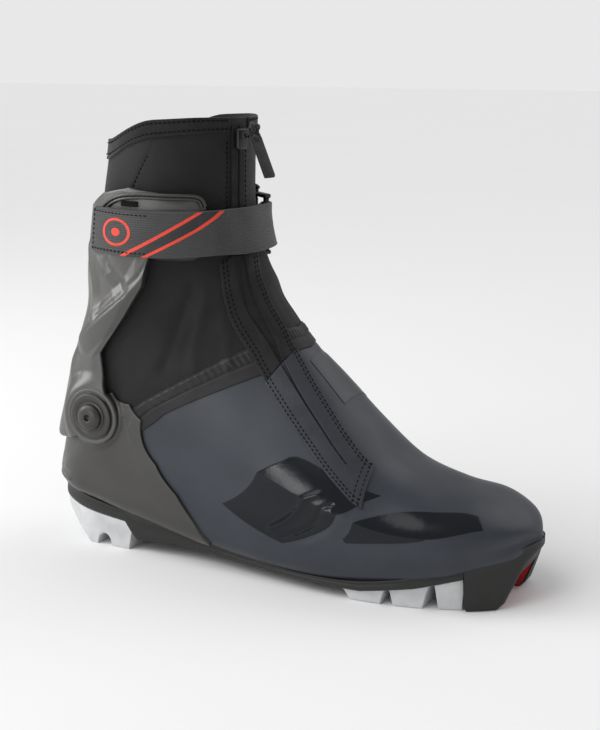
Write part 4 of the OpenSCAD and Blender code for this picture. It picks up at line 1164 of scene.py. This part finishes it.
class SKIBOOT_OT_cuff(bpy.types.Operator):
    """Heel counter, the cuff that turns on it, its trims and the pivots"""
    bl_idname = "skiboot.cuff"
    bl_label = "Cuff and heel counter"

    def execute(self, context):
        tone, size = context.scene.boot_colours, context.scene.boot_sizes
        edge = size.edge / MM
        shell_plastic = finish("Moulded polyamide cuff", tone.cuff, "#302f2c", patch=40, roughness=0.39,
                               vary=0.05, grain=0.3, grain_depth=0.01, worn="#5b5a53",
                               specular=0.95)  # satin with a fine spark texture
        heel_plastic = finish("Moulded polyurethane counter", tone.counter, "#2e2d2a", patch=30,
                              roughness=0.38, vary=0.05, grain=0.35, grain_depth=0.012, worn="#4c4b46",
                              specular=0.6)  # duller than the cuff, lighter at its edges
        trim_plastic = finish("Moulded elastomer piping", "#353430", "#2d2c29", patch=12, roughness=0.3,
                              grain=0.4, grain_depth=0.01)
        screw_plastic = finish("Moulded acetal screw", "#32312e", "#2a2926", patch=8, roughness=0.35,
                               grain=0.3, grain_depth=0.01, worn="#4a4944")
        steel = finish("Turned steel", "#8d8e90", "#77787a", patch=3, roughness=0.3, metallic=1.0)

        def counter_face(s, a, u, v):
            p = skin(s, a)
            lobe = 1 - ease(np.hypot(p[..., 0] - PIVOT_X, p[..., 2] - PIVOT_Z), 18.2, 19.6)
            return COUNTER_OUT + seated(s, a) + moulded(s, a, COUNTER_LINES) * (1 - lobe) + 0.9 * lobe

        place = turn_place(edge_of(COUNTER_LOW), edge_of(COUNTER_HIGH), -88, 88)
        counter = shell("heel_counter_shell", place, 90, 170, counter_face, 0.1, rim=edge, soft=False)
        place_piece(counter, "boot", heel_plastic, "counter_plastic", "heel_counter")

        def cuff_place(u, v):
            w = 2 * v - 1
            low, high = look(CUFF_LOW, np.abs(w)), look(CUFF_HIGH, np.abs(w))
            s = low + (high - low) * u
            return s, w * look(CUFF_REACH, s)

        def flare(s, a):
            return np.maximum(0, 1 - np.abs(s - 11.4)) * np.maximum(0, np.cos(np.radians(a)) - 0.2) * 1.5

        def waist(s, a):
            back = np.maximum(0, np.cos(np.radians(a))) ** 0.6
            return back * (1.3 * bell(s, 12.2, 0.5) - 2.3 * bell(s, 13.35, 0.42))

        def cuff_face(s, a, u, v):
            edge_fall = 0.9 * (1 - ease(v, 0, 0.05)) + 0.9 * ease(v, 0.95, 1)
            return CUFF_OUT + flare(s, a) + waist(s, a) + moulded(s, a, CUFF_LINES) - edge_fall

        def flatten(points, outer):
            near = 1 - ease(np.hypot(points[..., 0] - PIVOT_X, points[..., 2] - PIVOT_Z), 16.5, 27)
            level = np.sign(points[..., 1]) * ((BOSS_OUT - 0.15) if outer else (BOSS_IN + 0.3))
            points[..., 1] += (level - points[..., 1]) * near * (np.abs(points[..., 1]) > 20)
            return points

        parts = [shell("cuff_body", cuff_place, 150, 260, cuff_face,
                       lambda s, a, u, v: CUFF_IN + flare(s, a) + waist(s, a), rim=edge, soft=False,
                       shape=flatten)]
        profile = [(4.7, BOSS_IN), (BOSS_R - 0.6, BOSS_IN), (BOSS_R, BOSS_IN + 0.6), (BOSS_R, BOSS_OUT - 0.9),
                   (BOSS_R - 0.3, BOSS_OUT - 0.3), (BOSS_R - 0.9, BOSS_OUT), (14.2, BOSS_OUT),
                   (13.9, BOSS_OUT - 0.35), (13.5, BOSS_OUT - 0.35), (4.7, BOSS_OUT - 0.05)]
        for side in (-1, 1):
            parts.append(on_pivot(f"boss{side}", profile, side, ring=True))
        place_piece(joined("cuff_shell", parts), "cuff", shell_plastic, "cuff_plastic", "cuff")

        # the medial piping is shorter, so that it stops before the strap's loop
        for word, turn, count in (("lateral", 1, 140), ("medial", -1, 118)):
            line = spline(np.array(PIPING, float), np.linspace(0, len(PIPING) - 1, 140))[:count]
            station, angle = line[:, 0], line[:, 1] if turn == 1 else 360 - line[:, 1]
            cords = []
            for k, (shift, lift) in enumerate(((-0.95, 0.25), (0.95, 0.5))):
                middle = lifted(station, angle, np.full(count, CUFF_OUT + lift))
                across = np.cross(facing(station, angle), np.gradient(middle, axis=0)) * turn
                across /= np.linalg.norm(across, axis=1, keepdims=True)
                cords.append(tube(f"cord{k}", middle + shift * across, 0.95, 12))
            place_piece(joined(f"cuff_trim_{word}_piping", cords), "cuff", trim_plastic, "trim_plastic",
                        f"cuff_trim_{word}")
        for side, word in ((-1, "lateral"), (1, "medial")):
            y = BOSS_OUT
            washer = on_pivot(f"pivot_washer_{word}_disc", [
                (4.7, y + 0.02), (12.6, y + 0.02), (13.2, y + 0.3), (13.2, y + 0.7), (12.8, y + 1.05),
                (12.3, y + 1.2), (9.3, y + 1.2), (9.0, y + 1.0), (8.5, y + 1.0), (8.2, y + 1.15),
                (4.7, y + 1.15)], side, ring=True)
            place_piece(washer, "cuff", screw_plastic, "screw_plastic", f"pivot_washer_{word}")
            y = BOSS_OUT + 1.2 + 0.1
            inner = BOSS_IN - 9
            head = on_pivot(f"pivot_screw_{word}_domed", [
                (4.44, inner), (4.44, y), (7.1, y), (7.5, y + 0.3), (7.5, y + 1.0), (7.2, y + 1.7),
                (6.4, y + 2.4), (5.2, y + 2.9), (3.6, y + 3.15), (2.6, y + 3.2), (2.0, y + 3.15),
                (1.85, y + 2.9), (1.8, y + 1.2)], side, hexagon=2)
            place_piece(head, "boot", screw_plastic, "screw_plastic", f"pivot_screw_{word}")
            set_material(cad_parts[f"pivot_nut_{word}"], steel)
        return {"FINISHED"}


# ---- Strap ----
STRAP_Z, STRAP_W, STRAP_T, STRAP_GAP = 174.0, 25.0, 1.5, 0.9
BASE_OFF = ZIP_OUT + 0.4
BAR_ANGLE, BAR_OUT, BAR_D = 147, 5.9, 3.4
BAR_BORE = BAR_D + 0.12
PATCH_ANGLES, PATCH_Z = (269, 282), STRAP_Z + STRAP_W + 1.5
STRIPE = 3.9  # width of a printed stripe in degrees round the leg
MARK = (281.5, 186.8)  # angle and height of the printed ring's middle


def base_at(s, a):
    return BASE_OFF + (CUFF_OUT + 0.4 - BASE_OFF) * ease(a, 198, 221)


def strap_at(s, a):
    rise = BAR_OUT + BAR_BORE / 2 - BASE_OFF - STRAP_T - STRAP_GAP
    return base_at(s, a) + STRAP_T + STRAP_GAP + rise * (1 - ease(a, BAR_ANGLE, 176))


def strap_place(a0, a1, corner=0.0):
    """Place function of a run of the strap; corner rounds the corners of its last end, in mm."""
    def place(u, v):
        a = a0 + (a1 - a0) * v
        left = np.clip((a1 - a) * 0.72, 0, corner) if corner else 0 * a
        cut = corner - np.sqrt(np.maximum(corner ** 2 - (corner - left) ** 2, 0)) if corner else 0 * a
        z = STRAP_Z + cut + (STRAP_W - 2 * cut) * u
        return station_at(a, z), a
    return place


class SKIBOOT_OT_strap(bpy.types.Operator):
    """Strap round the leg with its printed stripes, its bar loop, rivets and hook patch"""
    bl_idname = "skiboot.strap"
    bl_label = "Strap"

    def execute(self, context):
        tone, size = context.scene.boot_colours, context.scene.boot_sizes
        web = finish("Ribbed polyester webbing", tone.webbing, "#2d2d2d", patch=18, roughness=0.62,
                     weave="ribs", pitch=size.rib / MM, depth=0.22, uv=True, sheen=0.15,
                     thread="#454545")  # fine ribs along it
        ink = finish("Screen printed red", tone.print, "#d93a25", patch=8, roughness=0.45, grain=0.6,
                     grain_depth=0.03)
        dark = finish("Screen printed black", "#232323", "#1d1d1d", patch=8, roughness=0.5, grain=0.6,
                      grain_depth=0.03)
        plastic = finish("Moulded polyamide loop", "#242422", "#1e1e1c", patch=14, roughness=0.35, grain=0.3,
                         grain_depth=0.012, worn="#3c3b38")
        hooks = finish("Moulded nylon hooks", "#080809", "#0c0c0d", patch=2, roughness=0.7, specular=0.2)
        steel = finish("Nickel plated rivet", "#a3a3a2", "#8f8f8e", patch=3, roughness=0.25, metallic=1.0)

        def woven_edge(height):
            def face(s, a, u, v):
                bead = bell(u, 0.06, 0.03) + bell(u, 0.94, 0.03)
                return height(s, a) + STRAP_T - 0.12 * bead
            return face

        inner = shell("strap_base_web", strap_place(BAR_ANGLE + 9, 296), 30, 150, woven_edge(base_at),
                      lambda s, a, u, v: base_at(s, a), rim=0.4, soft=False)
        place_piece(inner, "cuff", web, "webbing", "strap_base")
        run = shell("strap_run", strap_place(BAR_ANGLE, 305, 3.0), 40, 240, woven_edge(strap_at),
                    lambda s, a, u, v: strap_at(s, a), rim=0.4, soft=False)
        bar = lifted(station_at(BAR_ANGLE, STRAP_Z + STRAP_W / 2), np.array(float(BAR_ANGLE)), BAR_OUT)
        near, far = BAR_BORE / 2 + 0.02, BAR_BORE / 2 + STRAP_T
        profile = [(near, 0), (far - 0.4, 0), (far, 0.4), (far, STRAP_W - 0.4), (far - 0.4, STRAP_W),
                   (near, STRAP_W)]
        wrap = turned("strap_wrap", profile, 48, lambda x, y, z: [bar[0] + x, bar[1] + y, STRAP_Z + z],
                      ring=True)
        wrap.data.uv_layers.new(name="UVMap")
        strap = joined("strap_webbing", [run, wrap])
        place_piece(strap, "strap", web, "webbing", "strap")

        def printed(name, place, nu, nv, lift=0.1, rim=0.04, closed=False):
            """A thin layer of ink on the strap."""
            top, bottom = (lambda s, a, u, v, d=d: strap_at(s, a) + STRAP_T + d for d in (lift, 0.01))
            return shell(name, place, nu, nv, top, bottom, rim=rim, closed=closed, soft=False)

        def across_strap(edges):
            """Place function of a band whose two edges' angles are given at each height."""
            def place(u, v):
                z = STRAP_Z + 0.25 + (STRAP_W - 0.5) * u
                a = edges(z, v)
                return station_at(a, z), a
            return place

        first = [(174, 276.5), (199, 228)]
        second = [(174, 263), (190, 229), (195, 220), (199, 214)]
        parts = []
        for k, line in enumerate((first, second)):
            edges = across_strap(lambda z, v, line=line: look(line, z) + STRIPE * (v - 0.5))
            parts.append(printed(f"stripe{k}", edges, 90, 8))

        def disc(r0, r1):
            def place(u, v):
                turn = -2 * math.pi * v
                r = r0 + (r1 - r0) * u
                a = MARK[0] + r * np.cos(turn) / 0.70
                return station_at(a, MARK[1] + r * np.sin(turn)), a
            return place

        parts.append(printed("mark_ring", disc(6.2, 7.6), 6, 90, closed=True))
        parts.append(printed("mark_dot", disc(0.05, 2.3), 6, 60, closed=True))
        place_piece(joined("strap_print_red", parts), "strap", ink, "webbing")
        between = across_strap(lambda z, v: look(second, z) + (look(first, z) - look(second, z)) * v)
        place_piece(printed("strap_print_black", between, 60, 40, 0.05, 0.03), "strap", dark, "webbing")
        # moulded loop: a bar in front and two cheeks that reach back to the wing
        middle_z = STRAP_Z + STRAP_W / 2
        back = lifted(station_at(118, middle_z), np.array(118.0), CUFF_OUT + 2.6)
        ahead = back - bar
        reach = math.hypot(ahead[0], ahead[1])
        spin = about_z(math.atan2(ahead[1], ahead[0]))
        half = STRAP_W / 2 + 2 + 1.3

        def at_loop(along, up=0.0):
            """A point along mm from the bar towards the wing and up mm from the strap's middle."""
            return np.array([bar[0], bar[1], middle_z + up]) + spin @ np.array([along, 0, 0])

        parts = [tube("l0", [at_loop(0, k * (half + 1.1)) for k in (-1, -0.5, 0, 0.5, 1)], 1.68, 20)]
        for k, size_mm, centre, radius in (
                (1, (reach + 5.2, 4.2, 2.6), at_loop(reach / 2, -half), 1.0),
                (2, (reach + 5.2, 4.2, 2.6), at_loop(reach / 2, half), 1.0),
                (3, (7, 2.8, STRAP_W + 9), at_loop(reach + 2.5), 0.9)):
            parts.append(soften(block(f"l{k}", size_mm, centre, spin), radius))
        place_piece(joined("strap_loop_frame", parts), "cuff", plastic, "cuff_plastic", "strap_loop")
        set_material(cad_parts["strap_rivets"], steel)

        def patch_place(u, v):
            a = PATCH_ANGLES[0] + (PATCH_ANGLES[1] - PATCH_ANGLES[0]) * v
            return station_at(a, PATCH_Z + 3.0 * u), a

        base = shell("hook_patch_base", patch_place, 8, 24, CUFF_OUT + 0.45, CUFF_OUT + 0.1, rim=0.1,
                     soft=False)
        patch = grown("hook_patch_pile", base, pile_tree(), Spacing=0.45 * MM, Length=0.9 * MM,
                      Width=0.16 * MM, Material=hooks)
        place_piece(patch, "cuff", None, "hook_fastener", "hook_patch")
        return {"FINISHED"}


# ---- Stitching ----
ON_FACING, ON_CLOTH = FACING_OUT + 0.04, 0.05  # heights over the last of the threads' middles


class SKIBOOT_OT_stitching(bpy.types.Operator):
    """Rows of stitches on the facing, gaiter, hem and strap"""
    bl_idname = "skiboot.stitching"
    bl_label = "Stitching"

    def execute(self, context):
        size = context.scene.boot_sizes
        dark = finish("Waxed polyester thread", "#060607", "#0a0a0b", patch=3, roughness=0.7, specular=0.15)
        thread = (size.stitch_gap / MM, size.stitch / MM, size.thread / MM, size.thread / MM)
        s = np.linspace(5.4, 7.9, 60)
        rows = [(s, beside_zip(s, side * (FACING_SHIFT + FACING_W / 2 - inset)), ON_FACING)
                for side in (-1, 1) for inset in (1.6, 3.6)]
        shift = np.linspace(-12.2, 12.2, 30)
        rows += [(end, beside_zip(np.full_like(shift, end), shift), ON_FACING) for end in (5.38, 5.5)]
        place_piece(rows_over("stitches_facing", rows, dark, *thread), "boot", None, "facing_tape")
        a = np.linspace(207, 539, 260)
        rows = [(top_edge(a) - drop, a, 0.98) for drop in (0.07, 0.26)]
        for side in (-1, 1):
            s = np.linspace(13.2, 15.5, 50)
            rows.append((s, side * seam_angle(s), ON_CLOTH))
            s = np.linspace(12.2, 15.55, 80)
            rows.append((s, beside_zip(s, side * 7.0), ON_CLOTH))
        place_piece(rows_over("stitches_gaiter", rows, dark, *thread), "cuff", None, "softshell")
        s = np.linspace(8.02, 12.2, 100)
        rows = [(s, beside_zip(s, side * off), ON_FACING) for side in (-1, 1) for off in (8.6, 10.6)]
        place_piece(rows_over("stitches_ankle", rows, dark, *thread), CROSSING, None, "softshell")
        low, high, end = STRAP_Z + 2.2, STRAP_Z + STRAP_W - 2.2, 302.5
        along, z = np.linspace(262, end, 60), np.linspace(low, high, 30)
        rows = []
        for angle, level in ((along, low), (along, high), (end + 0 * z, z)):
            station = station_at(angle, level)
            rows.append((station, angle, strap_at(station, angle) + STRAP_T + 0.02))
        place_piece(rows_over("stitches_strap", rows, dark, *thread, soft=False), "strap", None, "webbing")
        return {"FINISHED"}


# ---- Stage ----
FLOOR_HALF = 9000  # half the floor's side in mm
SKY_LIGHT, SKY_SEEN = 0.53, 0.92  # the sky's strength for lighting, and as the camera sees it
AIM = (0.0, 0.0, 0.11)  # what the lights point at


class SKIBOOT_OT_stage(bpy.types.Operator):
    """Plain pale floor, soft studio lights and the camera"""
    bl_idname = "skiboot.stage"
    bl_label = "Stage"

    def execute(self, context):
        scene = context.scene
        ground = CAD_BOX[0].z
        paper = finish("Matt studio paper", "#f4f4f4", "#f3f3f3", patch=400, roughness=0.9, vary=0.02,
                       grain=30, grain_depth=0.02, specular=0.0)
        corners = ((-1, -1), (1, -1), (1, 1), (-1, 1))
        points = [(x * FLOOR_HALF, y * FLOOR_HALF, ground / MM) for x, y in corners]
        floor = mesh_object("studio_floor", points, [[0, 1, 2, 3]], smooth=False)
        floor.data.materials.append(paper)
        world = bpy.data.worlds.new("Studio")
        scene.world = world
        world.use_nodes = True
        tree = world.node_tree
        tree.nodes.clear()
        seen = node(tree, "ShaderNodeLightPath").outputs["Is Camera Ray"]
        light = node(tree, "ShaderNodeMapRange", {"Value": seen, "To Min": SKY_LIGHT, "To Max": SKY_SEEN})
        sky = node(tree, "ShaderNodeBackground", {"Color": linear("#f1f1f1"), "Strength": light.outputs[0]})
        node(tree, "ShaderNodeOutputWorld", {"Surface": sky.outputs[0]})

        def put(name, data, where, aim):
            """Adds a light or a camera, turned to what it aims at."""
            obj = add_object(name, data)
            obj.location = where
            obj.rotation_euler = (Vector(aim) - obj.location).to_track_quat("-Z", "Y").to_euler()
            return obj

        for name, where, power, wide in (
                ("Key light", (-0.8, -0.9, 1.5), 1.2, 55), ("Rim light", (0.7, 1.0, 1.2), 0.5, 50)):
            sun = bpy.data.lights.new(name, "SUN")
            sun.energy, sun.angle = power, math.radians(wide)
            put(name, sun, where, AIM)
        for name, where, size, power in (("Side softbox", (-1.0, -0.4, 0.52), 0.62, 6.0),
                                         ("Front softbox", (-0.5, -1.2, 0.17), 0.3, 1.7)):
            panel = bpy.data.lights.new(name, "AREA")
            panel.shape, panel.size, panel.energy = "SQUARE", size, power
            put(name, panel, where, AIM).visible_camera = False
        lens = bpy.data.cameras.new("Camera")
        lens.lens, lens.sensor_width = 69.83, 36
        target, distance = Vector((0.0066, 0.0, 0.113)), 0.78
        turn, rise = math.radians(26.9), math.radians(12.6)
        where = target + distance * Vector((math.sin(turn) * math.cos(rise), -math.cos(turn) * math.cos(rise),
                                            math.sin(rise)))
        scene.camera = put("Camera", lens, where, target)
        scene.view_settings.view_transform = "Standard"
        return {"FINISHED"}


class SKIBOOT_PT_panel(bpy.types.Panel):
    """Lists the boot's groups of pieces with its colours and sizes"""
    bl_idname = "SKIBOOT_PT_panel"
    bl_label = "Ski boot"
    bl_space_type = "VIEW_3D"
    bl_region_type = "UI"
    bl_category = "Ski boot"

    def draw(self, context):
        for operator in OPERATORS:
            self.layout.operator(operator.bl_idname)
        for group in (context.scene.boot_colours, context.scene.boot_sizes):
            box = self.layout.box()
            for key in group.__annotations__:
                box.prop(group, key)


OPERATORS = (SKIBOOT_OT_stage, SKIBOOT_OT_sole, SKIBOOT_OT_foot, SKIBOOT_OT_liner, SKIBOOT_OT_gaiter,
             SKIBOOT_OT_zip, SKIBOOT_OT_cuff, SKIBOOT_OT_strap, SKIBOOT_OT_stitching)
CLASSES = (BootColours, BootSizes, *OPERATORS, SKIBOOT_PT_panel)


def register():
    for cls in CLASSES:
        bpy.utils.register_class(cls)
    bpy.types.Scene.boot_colours = PointerProperty(type=BootColours)
    bpy.types.Scene.boot_sizes = PointerProperty(type=BootSizes)


def unregister():
    del bpy.types.Scene.boot_sizes
    del bpy.types.Scene.boot_colours
    for cls in reversed(CLASSES):
        bpy.utils.unregister_class(cls)


def main():
    register()
    for operator in OPERATORS:
        group, name = operator.bl_idname.split(".")
        if getattr(getattr(bpy.ops, group), name)() != {"FINISHED"}:
            raise RuntimeError(f"{operator.bl_label} did not finish")


if __name__ == "__main__":
    main()
